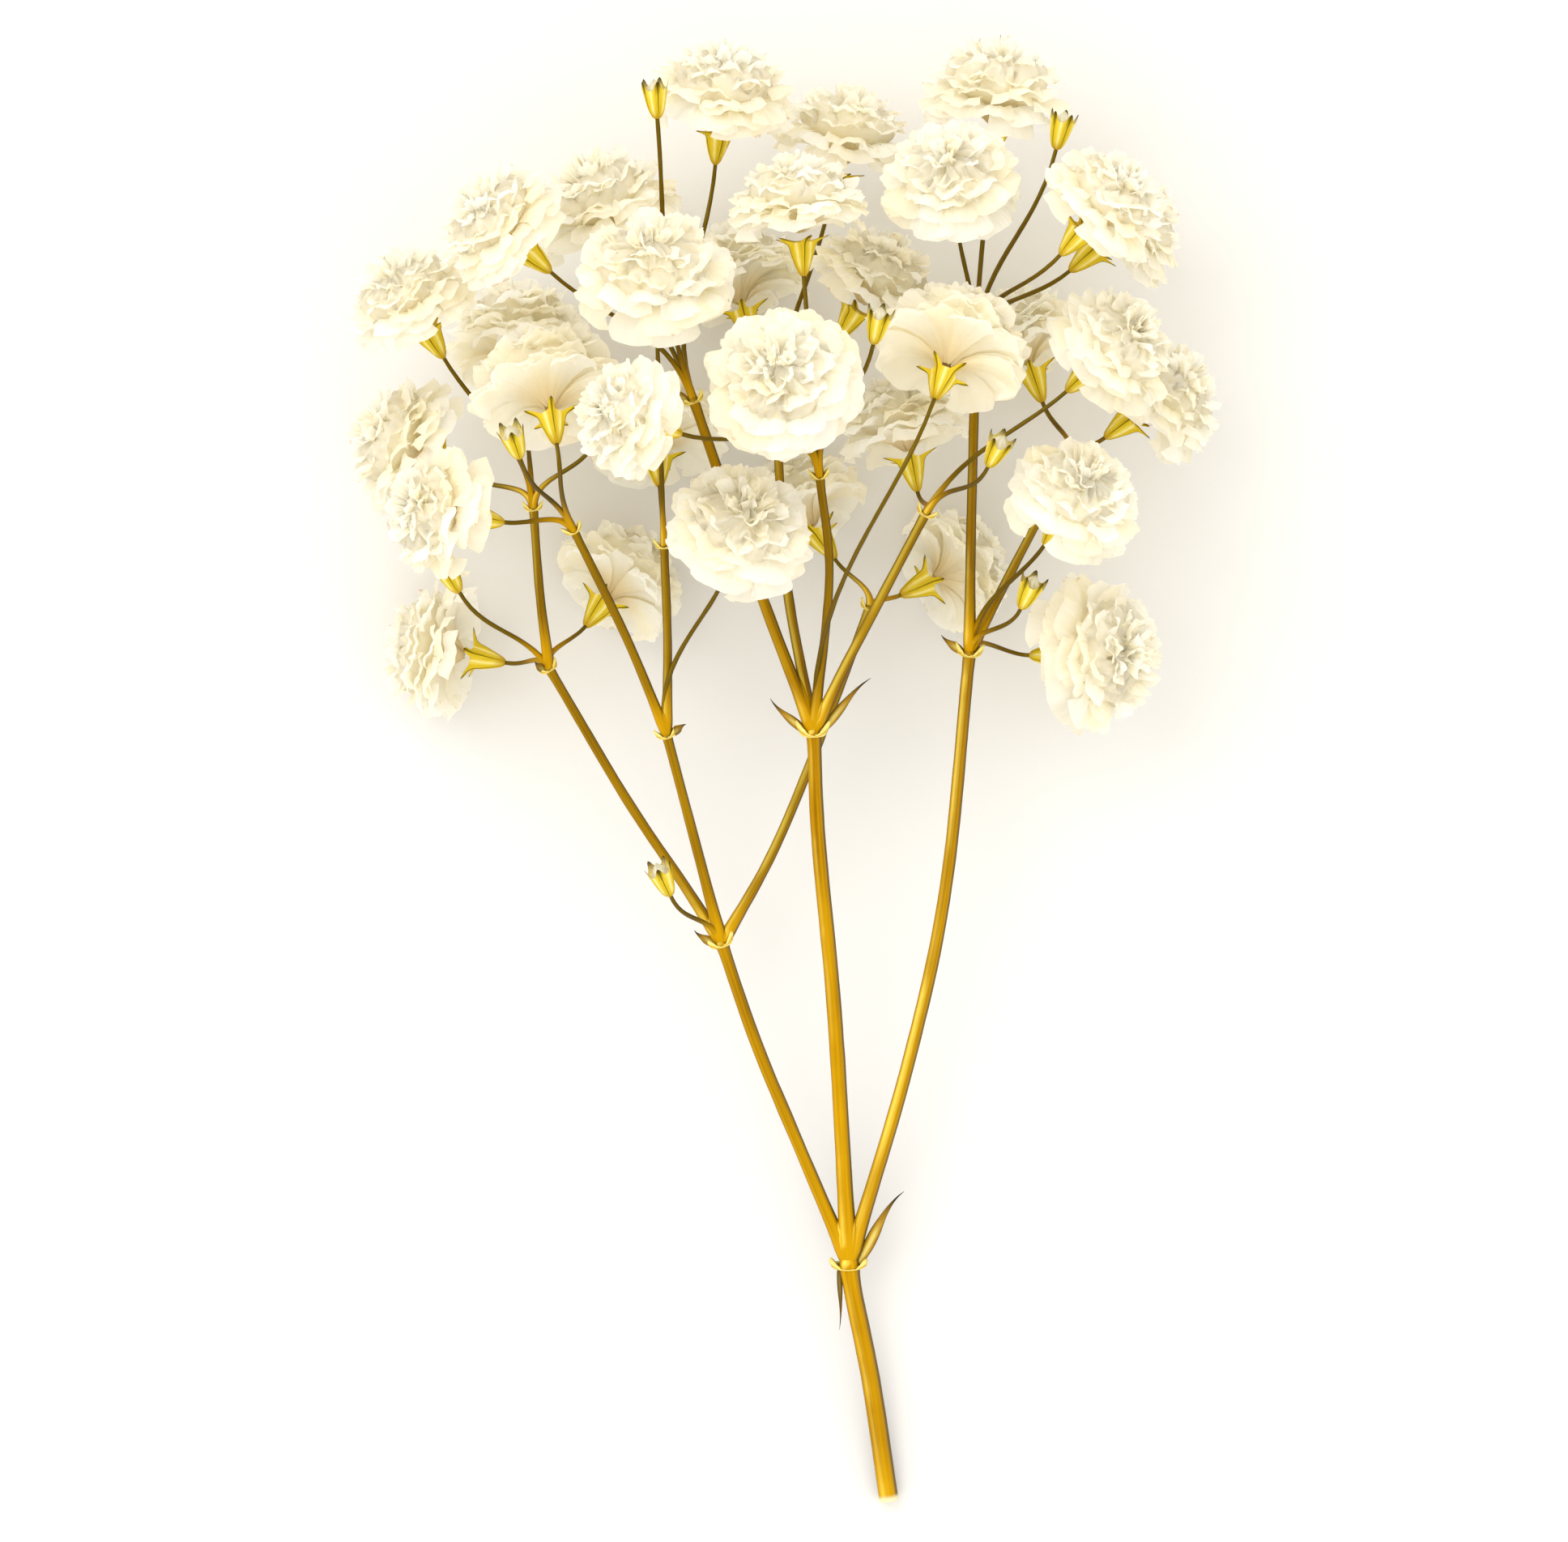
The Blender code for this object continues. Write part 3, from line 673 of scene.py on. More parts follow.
    def planted(self, shape: Flow, turned: Flow, size: Number = 1.0) -> Flow:
        """Put a shape on each point that the tree starts from, turned and sized.

        Args:
            shape: the shape to repeat.
            turned: the rotation at each point.
            size: the size at each point.

        Returns:
            All copies of the shape.
        """
        inputs = {"Points": self.base, "Instance": shape, "Rotation": turned,
                  "Scale": self.vector(size, size, size)}
        return self.flow("GeometryNodeInstanceOnPoints", inputs)

    def close(self, shape: Flow) -> None:
        """End the tree: make everything real, smooth it and give it its finish.

        Args:
            shape: what the tree has made.
        """
        real = self.flow("GeometryNodeRealizeInstances", {"Geometry": shape})
        smooth = self.flow("GeometryNodeSetShadeSmooth", {"Geometry": real, "Shade Smooth": True})
        coated = self.flow("GeometryNodeSetMaterial", {"Geometry": smooth, "Material": self.finish})
        self.tree.links.new(coated.socket, self.exit.inputs[0])

    def grow(self, name: str, base: bpy.types.Mesh, finish: bpy.types.Material,
             **inputs: Any) -> bpy.types.Object:
        """Run the tree on a mesh and keep the result as a plain mesh object.

        Args:
            name: the new piece's name.
            base: the points or lines that the tree starts from.
            finish: the material of the piece.
            inputs: what goes into the tree's named inputs.

        Returns:
            The finished object.
        """
        seed = bpy.data.objects.new(name, base)
        bpy.context.scene.collection.objects.link(seed)
        modifier = seed.modifiers.new("shape", "NODES")
        modifier.node_group = self.tree
        for label, value in dict(inputs, Finish=finish).items():
            modifier[self.names[label]] = value
        graph = bpy.context.evaluated_depsgraph_get()
        mesh = bpy.data.meshes.new_from_object(seed.evaluated_get(graph), depsgraph=graph)
        bpy.data.objects.remove(seed)
        mesh.name = name
        made = bpy.data.objects.new(name, mesh)
        bpy.context.scene.collection.objects.link(made)
        LOG.info("%s: %d faces", name, len(mesh.polygons))
        return made


def guide_mesh(points: np.ndarray, edges: list[tuple[int, int]], numbers: dict[str, list[float]],
               ways: Union[dict[str, list[np.ndarray]], None] = None) -> bpy.types.Mesh:
    """Make the points and lines that a shape tree starts from.

    Args:
        points: places in millimetres from the cut end.
        edges: pairs of points that are joined.
        numbers: a number for each point, by name.
        ways: a direction for each point, by name.

    Returns:
        A mesh without faces, in metres in the frame.
    """
    mesh = bpy.data.meshes.new("guide")
    mesh.from_pydata([tuple(point) for point in (np.array(points) + CUT_END) * MM], edges, [])
    for name, values in numbers.items():
        mesh.attributes.new(name, "FLOAT", "POINT").data.foreach_set("value", values)
    for name, values in (ways or {}).items():
        mesh.attributes.new(name, "FLOAT_VECTOR", "POINT").data.foreach_set("vector", np.ravel(values))
    return mesh


# Finishes

@dataclass(frozen=True)
class Colour:
    """A colour as it looks on screen, each part from 0 to 255."""

    red: int
    green: int
    blue: int

    def light(self) -> tuple[float, ...]:
        """Return the amounts of light that a shader expects, by the screen's own curve."""
        shares = [part / 255 for part in (self.red, self.green, self.blue)]
        return tuple(s / 12.92 if s <= 0.04045 else ((s + 0.055) / 1.055) ** 2.4 for s in shares) + (1.0,)


@dataclass(frozen=True)
class Finish:
    """What all finishes share: a Principled surface in a material of its own."""

    name: str
    roughness: float
    shine: float
    smoother: float = 0.1
    rougher: float = 0.2

    def start(self) -> tuple[bpy.types.Material, Nodes, bpy.types.Node]:
        """Make the material with its sockets for roughness and shine set.

        Returns:
            The material, its nodes and its surface.
        """
        material = bpy.data.materials.new(self.name)
        material.use_nodes = True
        nodes = Nodes(material.node_tree)
        surface = material.node_tree.nodes["Principled BSDF"]
        surface.inputs["Roughness"].default_value = self.roughness
        surface.inputs["Specular IOR Level"].default_value = self.shine
        return material, nodes, surface

    @staticmethod
    def ramp(nodes: Nodes, share: Flow, stops: tuple[float, ...], colours: tuple[Colour, ...]) -> Flow:
        """Return the colour that a share picks from a row of colours.

        Args:
            nodes: the nodes of the material.
            share: how far along the row to look.
            stops: the share at which each colour lies.
            colours: the colours in the row.

        Returns:
            The colour at that share.
        """
        made = nodes.node("ShaderNodeValToRGB", {"Fac": share})
        line = made.color_ramp
        for _ in range(len(stops) - 2):
            line.elements.new(0.5)
        for element, stop, colour in zip(line.elements, stops, colours):
            element.position = stop
            element.color = colour.light()
        return Flow(nodes, made.outputs["Color"])

    @staticmethod
    def tinted(nodes: Nodes, share: Number, colour: Flow, tint: Colour) -> Flow:
        """Mix a plain tint into a colour."""
        inputs = {"Factor_Float": share, "A_Color": colour, "B_Color": tint.light()}
        return nodes.flow("ShaderNodeMix", inputs, "Result_Color", data_type="RGBA")

    @staticmethod
    def painted(nodes: Nodes, surface: bpy.types.Node, colour: Flow) -> None:
        """Give the surface its colour."""
        nodes.tree.links.new(colour.socket, surface.inputs["Base Color"])

    def roughened(self, nodes: Nodes, surface: bpy.types.Node, share: Flow) -> None:
        """Let the roughness go from a little less than the finish's own to a little more."""
        rough = nodes.blend(share, self.roughness - self.smoother, self.roughness + self.rougher)
        nodes.tree.links.new(rough.socket, surface.inputs["Roughness"])

    @staticmethod
    def stored(nodes: Nodes, name: str, output: str = "Fac") -> Flow:
        """Return what the piece has stored under a name."""
        made = nodes.node("ShaderNodeAttribute", attribute_name=name)
        return Flow(nodes, made.outputs[output])

    @staticmethod
    def object_place(nodes: Nodes) -> Flow:
        """Return the place on the object."""
        return nodes.flow("ShaderNodeTexCoord", output="Object")

    @staticmethod
    def dent(nodes: Nodes, surface: bpy.types.Node, height: Flow, depth: float, strength: float) -> None:
        """Let a height make the surface uneven."""
        bump = nodes.flow("ShaderNodeBump", {"Height": height, "Distance": depth, "Strength": strength})
        nodes.tree.links.new(bump.socket, surface.inputs["Normal"])


@dataclass(frozen=True)
class PetalFinish(Finish):
    """Dried petals: cream white, crinkled like tissue, with light coming through, warmer towards each petal's
    foot and, as painted shade, in the creases of the packed heart.
    """

    name: str = "dried_petal"
    roughness: float = 0.75
    shine: float = 0.15
    cream: Colour = Colour(255, 254, 248)
    shade: Colour = Colour(255, 250, 232)
    # Warm tint of each petal's foot, also used as painted shade in the creases of the packed heart
    foot_tint_and_crease_shade: Colour = Colour(255, 244, 208)
    rim: Colour = Colour(196, 152, 84)
    see_through: float = 0.6
    cloud_grain: float = 260.0
    chance_share: float = 0.5
    stops: Pair = (0.25, 0.7)
    foot_and_crease_band: Pair = (0.05, 0.62)
    rim_reach: Pair = (0.93, 1.0)
    rim_share: float = 0.55
    speck_grain: float = 900.0
    speck_band: Pair = (0.6, 0.74)
    veins: float = 34.0
    vein_grain: float = 500.0
    vein_wander: float = 5.0
    vein_depth: float = 0.16
    crinkle_grain: float = 1500.0
    crinkle: float = 0.00012
    relief: float = 0.5

    def material(self) -> bpy.types.Material:
        """Build the petals' material.

        Returns:
            The material, ready to use.
        """
        material, nodes, surface = self.start()
        reach = self.stored(nodes, "reach")
        across = self.stored(nodes, "across")
        chance = self.stored(nodes, "chance")
        place = self.object_place(nodes)
        cloud = nodes.noise(place, self.cloud_grain, 3.0, 0.6)
        tone = nodes.blend(self.chance_share, cloud, chance)
        colour = self.ramp(nodes, tone, self.stops, (self.shade, self.cream))
        # Warmer towards each petal's foot, and painted shade in the deeper creases of the packed heart
        colour = self.tinted(nodes, 1.0 - nodes.ease(reach, *self.foot_and_crease_band), colour, self.foot_tint_and_crease_shade)
        speck = nodes.ease(nodes.noise(place, self.speck_grain, 2.0, 0.7), *self.speck_band)
        edge = nodes.ease(reach, *self.rim_reach) * speck
        colour = self.tinted(nodes, edge * self.rim_share, colour, self.rim)
        self.painted(nodes, surface, colour)
        wander = nodes.noise(place, self.vein_grain) * self.vein_wander
        veins = nodes.maths("SINE", across * self.veins + wander)
        height = veins * self.vein_depth + nodes.noise(place, self.crinkle_grain, 4.0, 0.65)
        self.dent(nodes, surface, height, self.crinkle, self.relief)
        through = nodes.node("ShaderNodeBsdfTranslucent", {"Color": colour})
        mixed = nodes.node("ShaderNodeMixShader", {"Fac": self.see_through})
        nodes.tree.links.new(surface.outputs[0], mixed.inputs[1])
        nodes.tree.links.new(through.outputs[0], mixed.inputs[2])
        nodes.tree.links.new(mixed.outputs[0], nodes.tree.nodes["Material Output"].inputs["Surface"])
        return material


@dataclass(frozen=True)
class StalkFinish(Finish):
    """Dried stalks: golden ochre, olive brown where they are thin, with a painted highlight in broken
    straw-coloured lines where they face up and to the left, and painted shade along their sides, more on the
    right.
    """

    name: str = "dried_stalk"
    roughness: float = 0.42
    shine: float = 0.28
    gloss: Colour = Colour(255, 230, 90)
    ochre: Colour = Colour(122, 76, 0)
    gold: Colour = Colour(168, 120, 0)
    amber: Colour = Colour(196, 146, 2)
    # Colour of the painted highlight along the side of the stalks that faces up and to the left
    straw: Colour = Colour(246, 216, 88)
    olive: Colour = Colour(72, 58, 6)
    # Colour of the painted shade along the stalks' sides
    side_shade_colour: Colour = Colour(58, 44, 4)
    pith: Colour = Colour(222, 214, 170)
    fibres: Pair = (2.2, 55.0)
    fibre_shift: float = 20.0
    patch_grain: float = 120.0
    patch_share: float = 0.4
    stops: tuple[float, ...] = (0.34, 0.48, 0.66)
    joint_run: Pair = (0.0008, 0.004)
    joint_share: float = 0.7
    highlight_breaks: Pair = (90.0, 50.0)
    highlight_break_band: Pair = (0.36, 0.54)
    highlight_share: float = 0.9
    slimness: Pair = (0.00013, 0.00054)
    slim_share: float = 0.85
    # How much less olive and less painted side shade the slim twigs get near their joints
    slim_joint: Pair = (0.85, 0.5)
    side_shade_share: float = 0.95
    cut_run: Pair = (0.00012, 0.0005)
    main_tint: float = 0.001
    ridges: Pair = (5.0, 90.0)
    groove: float = 0.00006
    relief: float = 0.5

    def material(self) -> bpy.types.Material:
        """Build the stalks' material.

        Returns:
            The material, ready to use.
        """
        material, nodes, surface = self.start()
        surface.inputs["Specular Tint"].default_value = self.gloss.light()
        x, y, _ = nodes.split(self.stored(nodes, "around", "Vector"))
        run = self.stored(nodes, "run")
        tint = self.stored(nodes, "tint")
        thin, long = self.fibres
        spread = nodes.vector(x * thin, y * thin, run * long + tint * self.fibre_shift)
        fibre = nodes.noise(spread, 1.0, 4.0, 0.6)
        patch = nodes.noise(self.object_place(nodes), self.patch_grain, 3.0, 0.55)
        tone = nodes.blend(self.patch_share, fibre, patch)
        colour = self.ramp(nodes, tone, self.stops, (self.ochre, self.gold, self.amber))
        near_joint = 1.0 - nodes.ease(run, *self.joint_run)
        colour = self.tinted(nodes, near_joint * self.joint_share, colour, self.amber)
        along, apart = self.highlight_breaks
        highlight_break = nodes.noise(nodes.vector(run * along, tint * apart, 0.0), 1.0)
        highlight_break = nodes.ease(highlight_break, *self.highlight_break_band)
        # Painted highlight: broken straw-coloured lines where the surface faces up and to the left
        highlight = self.stored(nodes, "lit") * highlight_break
        colour = self.tinted(nodes, highlight * self.highlight_share, colour, self.straw)
        slim = 1.0 - nodes.ease(self.stored(nodes, "thick"), *self.slimness)
        less_olive, less_side_shade = self.slim_joint
        olive = slim * (1.0 - near_joint * less_olive) * self.slim_share
        colour = self.tinted(nodes, olive, colour, self.olive)
        # Painted shade: darker where the surface faces away from straight up, more on the right
        painted_side_shade = self.stored(nodes, "painted_side_shade") * (self.side_shade_share - slim * near_joint * less_side_shade)
        colour = self.tinted(nodes, painted_side_shade, colour, self.side_shade_colour)
        fresh_cut = 1.0 - nodes.ease(run, *self.cut_run)
        main = nodes.maths("LESS_THAN", tint, self.main_tint)
        colour = self.tinted(nodes, fresh_cut * main, colour, self.pith)
        self.painted(nodes, surface, colour)
        self.roughened(nodes, surface, fibre)
        thin, long = self.ridges
        ridges = nodes.noise(nodes.vector(x * thin, y * thin, run * long), 1.0, 3.0, 0.6)
        self.dent(nodes, surface, ridges, self.groove, self.relief)
        return material


@dataclass(frozen=True)
class SepalFinish(Finish):
    """Calyx and buds: golden yellow with dark lines along the ribs, pale between them, brown at the tips."""

    name: str = "dried_sepal"
    roughness: float = 0.9
    shine: float = 0.04
    rib: Colour = Colour(104, 88, 10)
    gold: Colour = Colour(216, 186, 40)
    skin: Colour = Colour(234, 208, 80)
    pale: Colour = Colour(246, 232, 150)
    tip: Colour = Colour(70, 54, 8)
    foot: Colour = Colour(206, 164, 34)
    cream: Colour = Colour(236, 228, 196)
    cloud_grain: float = 900.0
    cloud_share: float = 0.3
    stops: tuple[float, ...] = (0.2, 0.42, 0.8)
    threads: Pair = (7.0, 1.5)
    thread_band: Pair = (0.55, 0.72)
    thread_share: float = 0.35
    rib_band: Pair = (0.992, 1.009)
    rib_wander: float = 0.02
    rib_share: float = 0.85
    foot_rise: float = 0.3
    tip_cloud: float = 0.6
    tip_least: float = 0.6
    heights: tuple[float, float, float] = (0.5, 0.4, 1.4)
    groove: float = 0.00014
    relief: float = 0.8

    def material(self) -> bpy.types.Material:
        """Build the sepals' material.

        Returns:
            The material, ready to use.
        """
        material, nodes, surface = self.start()
        x, y, _ = nodes.split(self.stored(nodes, "around", "Vector"))
        rise = self.stored(nodes, "rise")
        cloud = nodes.noise(self.object_place(nodes), self.cloud_grain, 3.0, 0.6)
        thin, long = self.threads
        threads = nodes.noise(nodes.vector(x * thin, y * thin, rise * long), 1.0, 3.0, 0.65)
        crest = nodes.crest(nodes.maths("ARCTAN2", y, x))
        tone = nodes.blend(self.cloud_share, crest, cloud)
        colour = self.ramp(nodes, tone, self.stops, (self.pale, self.skin, self.gold))
        threaded = nodes.ease(threads, *self.thread_band) * self.thread_share
        colour = self.tinted(nodes, threaded, colour, self.foot)
        rib = nodes.ease(crest + threads * self.rib_wander, *self.rib_band)
        colour = self.tinted(nodes, rib * self.rib_share, colour, self.rib)
        colour = self.tinted(nodes, 1.0 - nodes.ease(rise, 0.0, self.foot_rise), colour, self.foot)
        browned = self.stored(nodes, "tipped") * (cloud * self.tip_cloud + self.tip_least)
        colour = self.tinted(nodes, browned, colour, self.tip)
        colour = self.tinted(nodes, self.stored(nodes, "petal_tip"), colour, self.cream)
        self.painted(nodes, surface, colour)
        self.roughened(nodes, surface, cloud)
        ribbed, clouded, threaded = self.heights
        height = crest * ribbed + cloud * clouded + threads * threaded
        self.dent(nodes, surface, height, self.groove, self.relief)
        return material


@dataclass(frozen=True)
class BractFinish(Finish):
    """Dried bracts: golden with fine veins, dark brown along the edges and towards the tip."""

    name: str = "dried_bract"
    roughness: float = 0.55
    shine: float = 0.2
    gold: Colour = Colour(158, 110, 2)
    straw: Colour = Colour(190, 150, 26)
    paper: Colour = Colour(222, 204, 110)
    brown: Colour = Colour(48, 34, 4)
    rougher: float = 0.15
    cloud_grain: float = 600.0
    cloud_share: float = 0.4
    stops: Pair = (0.4, 0.62)
    veins: tuple[float, float, float] = (8.0, 1.2, 9.0)
    rib_band: Pair = (0.15, 0.6)
    rib_rise: Pair = (0.3, 0.6)
    paper_share: float = 0.8
    edge_band: Pair = (0.6, 1.0)
    edge_share: float = 0.8
    tip_band: Pair = (0.45, 0.92)
    tip_wander: float = 0.2
    groove: float = 0.00008
    relief: float = 0.6

    def material(self) -> bpy.types.Material:
        """Build the bracts' material.

        Returns:
            The material, ready to use.
        """
        material, nodes, surface = self.start()
        across = self.stored(nodes, "across")
        rise = self.stored(nodes, "rise")
        dry = self.stored(nodes, "dry")
        cloud = nodes.noise(self.object_place(nodes), self.cloud_grain, 3.0, 0.6)
        spread = [flow * size for flow, size in zip((across, rise, dry), self.veins)]
        veins = nodes.noise(nodes.vector(*spread), 1.0, 3.0, 0.6)
        tone = nodes.blend(self.cloud_share, veins, cloud)
        colour = self.ramp(nodes, tone, self.stops, (self.gold, self.straw))
        off_rib = nodes.maths("ABSOLUTE", across)
        inside = (1.0 - nodes.ease(off_rib, *self.rib_band)) * (1.0 - nodes.ease(rise, *self.rib_rise))
        colour = self.tinted(nodes, inside * self.paper_share, colour, self.paper)
        edge = nodes.ease(off_rib, *self.edge_band) * self.edge_share
        tip = nodes.ease(rise + cloud * self.tip_wander - self.tip_wander / 2, *self.tip_band)
        browned = nodes.maths("MAXIMUM", edge, nodes.maths("MAXIMUM", tip, dry))
        colour = self.tinted(nodes, browned, colour, self.brown)
        self.painted(nodes, surface, colour)
        self.roughened(nodes, surface, cloud)
        self.dent(nodes, surface, veins, self.groove, self.relief)
        return material


@dataclass(frozen=True)
class CollarFinish(Finish):
    """The papery collar that a pair of bracts leaves round a joint: pale at its torn edges, gold between."""

    name: str = "papery_collar"
    roughness: float = 0.7
    shine: float = 0.15
    paper: Colour = Colour(230, 212, 118)
    gold: Colour = Colour(190, 148, 16)
    worn: Colour = Colour(110, 72, 4)
    rougher: float = 0.15
    cloud_grain: float = 1400.0
    wander: float = 0.5
    stops: tuple[float, ...] = (0.12, 0.4, 0.72)
    worn_band: Pair = (0.56, 0.72)
    worn_share: float = 0.6
    crease: float = 0.00006
    relief: float = 0.6

    def material(self) -> bpy.types.Material:
        """Build the collars' material.

        Returns:
            The material, ready to use.
        """
        material, nodes, surface = self.start()
        cloud = nodes.noise(self.object_place(nodes), self.cloud_grain, 4.0, 0.65)
        share = self.stored(nodes, "height") + (cloud - 0.5) * self.wander
        colour = self.ramp(nodes, share, self.stops, (self.paper, self.gold, self.paper))
        colour = self.tinted(nodes, nodes.ease(cloud, *self.worn_band) * self.worn_share, colour, self.worn)
        self.painted(nodes, surface, colour)
        self.roughened(nodes, surface, cloud)
        self.dent(nodes, surface, cloud, self.crease, self.relief)
        return material


@dataclass(frozen=True)
class FloorFinish(Finish):
    """The plain pale floor."""

    name: str = "pale_floor"
    roughness: float = 0.9
    shine: float = 0.1
    pale: Colour = Colour(222, 220, 216)
    paler: Colour = Colour(226, 224, 220)
    cloud_grain: float = 30.0
    stops: Pair = (0.3, 0.7)
    grit_grain: float = 900.0
    grit: float = 0.00004
    relief: float = 0.2

    def material(self) -> bpy.types.Material:
        """Build the floor's material.

        Returns:
            The material, ready to use.
        """
        material, nodes, surface = self.start()
        cloud = nodes.noise(self.object_place(nodes), self.cloud_grain, 3.0, 0.5)
        colour = self.ramp(nodes, cloud, self.stops, (self.pale, self.paler))
        self.painted(nodes, surface, colour)
        grit = nodes.noise(self.object_place(nodes), self.grit_grain, 3.0, 0.5)
        self.dent(nodes, surface, grit, self.grit, self.relief)
        return material


# Pieces of the sprig

def hand_in(piece: bpy.types.Object, slot: str, *nodes: str) -> None:
    """Fix a finished piece to the frame in place of the solids that it stands for.

    Args:
        piece: the finished piece.
        slot: the kind of surface that it has; not used.
        nodes: the solids that it stands for.
    """
    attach(piece, "root")
    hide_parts(*nodes)


@dataclass
class Blooms:
    """The double blooms: many toothed, crinkled petals in a rounded head. Widths are shares of its radius."""

    sprig: Sprig
    petals: int = 84
    rows: int = 6
    columns: int = 13
    outer_rise: Pair = (46.0, -52.0)
    inner_rise: Pair = (98.0, 88.0)
    rise_jitter: Pair = (-9.0, 9.0)
    end_jitter: Pair = (-14.0, 14.0)
    turn_jitter: Pair = (-0.3, 0.3)
    opening: float = 0.6
    fill: float = 1.25
    length: Pair = (1.06, 1.2)
    length_jitter: Pair = (-0.07, 0.06)
    half_width: Pair = (0.46, 0.2)
    foot_width: float = 0.14
    widening: float = 0.75
    claw: float = 0.07
    claw_edge: float = 0.06
    hub: float = 0.2
    climb: float = 0.1
    any_phase: Pair = (0.0, 6.3)
    pleats: float = 9.5
    pleat: float = 0.014
    ruffles: float = 3.4
    ruffle: float = 0.055
    edge_curl: float = 0.08
    teeth: float = 12.6
    tooth: float = 0.045
    lobes: float = 3.6
    lobe: float = 0.03
    roundness: float = 0.26
    rim_power: float = 5.0
    limit: float = 1.06
    limit_jitter: Pair = (-0.08, 0.0)
    limit_ruffle: float = 0.5
    limit_blend: float = 0.16
    flatness: float = 1.2
    heart_grid: tuple[int, int] = (20, 72)
    heart_width: Profile = ((0.0, 0.0), (0.3, 0.35), (0.52, 0.66), (0.72, 0.62), (0.88, 0.36),
                            (1.0, 0.0))
    heart_height: Profile = ((0.0, 0.18), (0.3, 0.42), (0.52, 0.64), (0.72, 0.88), (0.88, 0.99),
                             (1.0, 1.02))
    folds: Pair = (7.0, 3.0)
    fold_seed: float = 0.13
    crumple: float = 0.68
    crumple_top: float = 1.06
    floor_gap: float = 0.00004
    seed_step: int = 100

    def tree(self) -> ShapeTree:
        """Build the tree that makes one bloom on its seat.

        Returns:
            The finished tree.
        """
        tree = ShapeTree("ruffled_bloom")
        count = tree.input("Petals", Kind.WHOLE)
        seed = tree.input("Seed", Kind.WHOLE)
        radius = tree.input("Radius", Kind.NUMBER)
        seat = tree.input("Seat", Kind.WAY)
        axis = tree.input("Axis", Kind.WAY)
        points = tree.flow("GeometryNodePoints", {"Count": count})
        points = tree.store(points, "petal", tree.index(), "INT")
        blank, along, side = tree.sheet(self.rows, self.columns)
        blank = tree.store(blank, "reach", along)
        blank = tree.store(blank, "across", side * 2.0 - 1.0)
        sown = tree.flow("GeometryNodeInstanceOnPoints", {"Points": points, "Instance": blank})
        shape = tree.flow("GeometryNodeRealizeInstances", {"Geometry": sown})
        petal = tree.named("petal", "INT")
        shape = tree.store(shape, "chance", tree.chance(0.0, 1.0, petal, seed))
        shape = tree.moved(shape, self.petal_place(tree, petal, count, seed))
        shape = tree.joined(shape, self.packed_heart(tree, seed))
        turned = tree.flow("FunctionNodeRotateVector", {"Vector": tree.scaled(tree.place(), radius),
                                                        "Rotation": tree.facing(axis)})
        x, y, z = tree.split(tree.arrows("ADD", turned, seat))
        shape = tree.moved(shape, tree.vector(x, y, tree.maths("MAXIMUM", z, self.floor_gap)))
        tree.close(shape)
        return tree

    def packed_heart(self, tree: ShapeTree, seed: Flow) -> Flow:
        """Return the crumpled mass of packed inner petals that shows between the others.

        Args:
            tree: the tree to build in.
            seed: the bloom's own number.

        Returns:
            The mass, above the seat in shares of the bloom's radius.
        """
        shape, rise, _ = tree.spun(*self.heart_grid)
        radius = tree.outline(rise, self.heart_width)
        shape = tree.wrapped(shape, radius, tree.outline(rise, self.heart_height))
        x, y, z = tree.split(tree.place())
        level, upright = self.folds
        spread = tree.vector(x * level, y * level, z * upright + seed * self.fold_seed)
        fold = tree.maths("ABSOLUTE", tree.noise(spread, 1.0, 2.0, 0.55) - 0.5)
        # The reach falls in the deeper folds, so the warm foot tint gathers in the creases as painted shade
        for name, value in (("reach", 0.5 - fold), ("across", 0.0), ("chance", 0.5), ("fold", fold)):
            shape = tree.store(shape, name, value)
        share = self.crumple_top - tree.named("fold") * self.crumple
        return tree.moved(shape, tree.scaled(tree.place(), share))

    def petal_place(self, tree: ShapeTree, petal: Flow, count: Flow, seed: Flow) -> Flow:
        """Return where each point of each petal goes, in shares of the bloom's radius.

        Args:
            tree: the tree to build in.
            petal: the petal's number, from the outside in.
            count: how many petals the bloom has.
            seed: the bloom's own number.

        Returns:
            The place of each point above the seat.
        """
        u = tree.named("reach")
        v = tree.named("across")
        t = petal / (count - 1.0)
        turn = petal * GOLDEN_TURN + tree.chance(*self.turn_jitter, petal, seed + 1.0)
        jitter = tree.chance(*self.rise_jitter, petal, seed + 2.0)
        start = tree.blend(t ** self.opening, self.outer_rise[0], self.inner_rise[0]) + jitter
        end = tree.blend(t ** self.fill, self.outer_rise[1], self.inner_rise[1])
        end = end + tree.chance(*self.end_jitter, petal, seed + 3.0)
        mean = tree.maths("RADIANS", start + (end - start) * u * 0.5)
        slope = tree.maths("RADIANS", start + (end - start) * u)
        length = tree.blend(t, *self.length) + tree.chance(*self.length_jitter, petal, seed + 4.0)
        shift = tree.chance(*self.any_phase, petal, seed + 5.0)
        nick = tree.maths("COSINE", v * self.teeth + shift) * 0.5 + 0.5
        lobe = tree.maths("COSINE", v * self.lobes + shift * 2.0) * 0.5 + 0.5
        cut = u ** self.rim_power * (nick * self.tooth + lobe * self.lobe + v * v * self.roundness)
        reach = length * u * (1.0 - cut)
        wave_phase = tree.chance(*self.any_phase, petal, seed + 6.0)
        wave = tree.maths("SINE", v * self.ruffles + wave_phase) * u * u * self.ruffle
        fold_phase = tree.chance(*self.any_phase, petal, seed + 7.0)
        fold = tree.maths("SINE", v * self.pleats + fold_phase) * u * self.pleat
        lift = wave + fold + v * v * u * self.edge_curl
        out = reach * tree.maths("COSINE", mean) + self.claw - lift * tree.maths("SINE", slope)
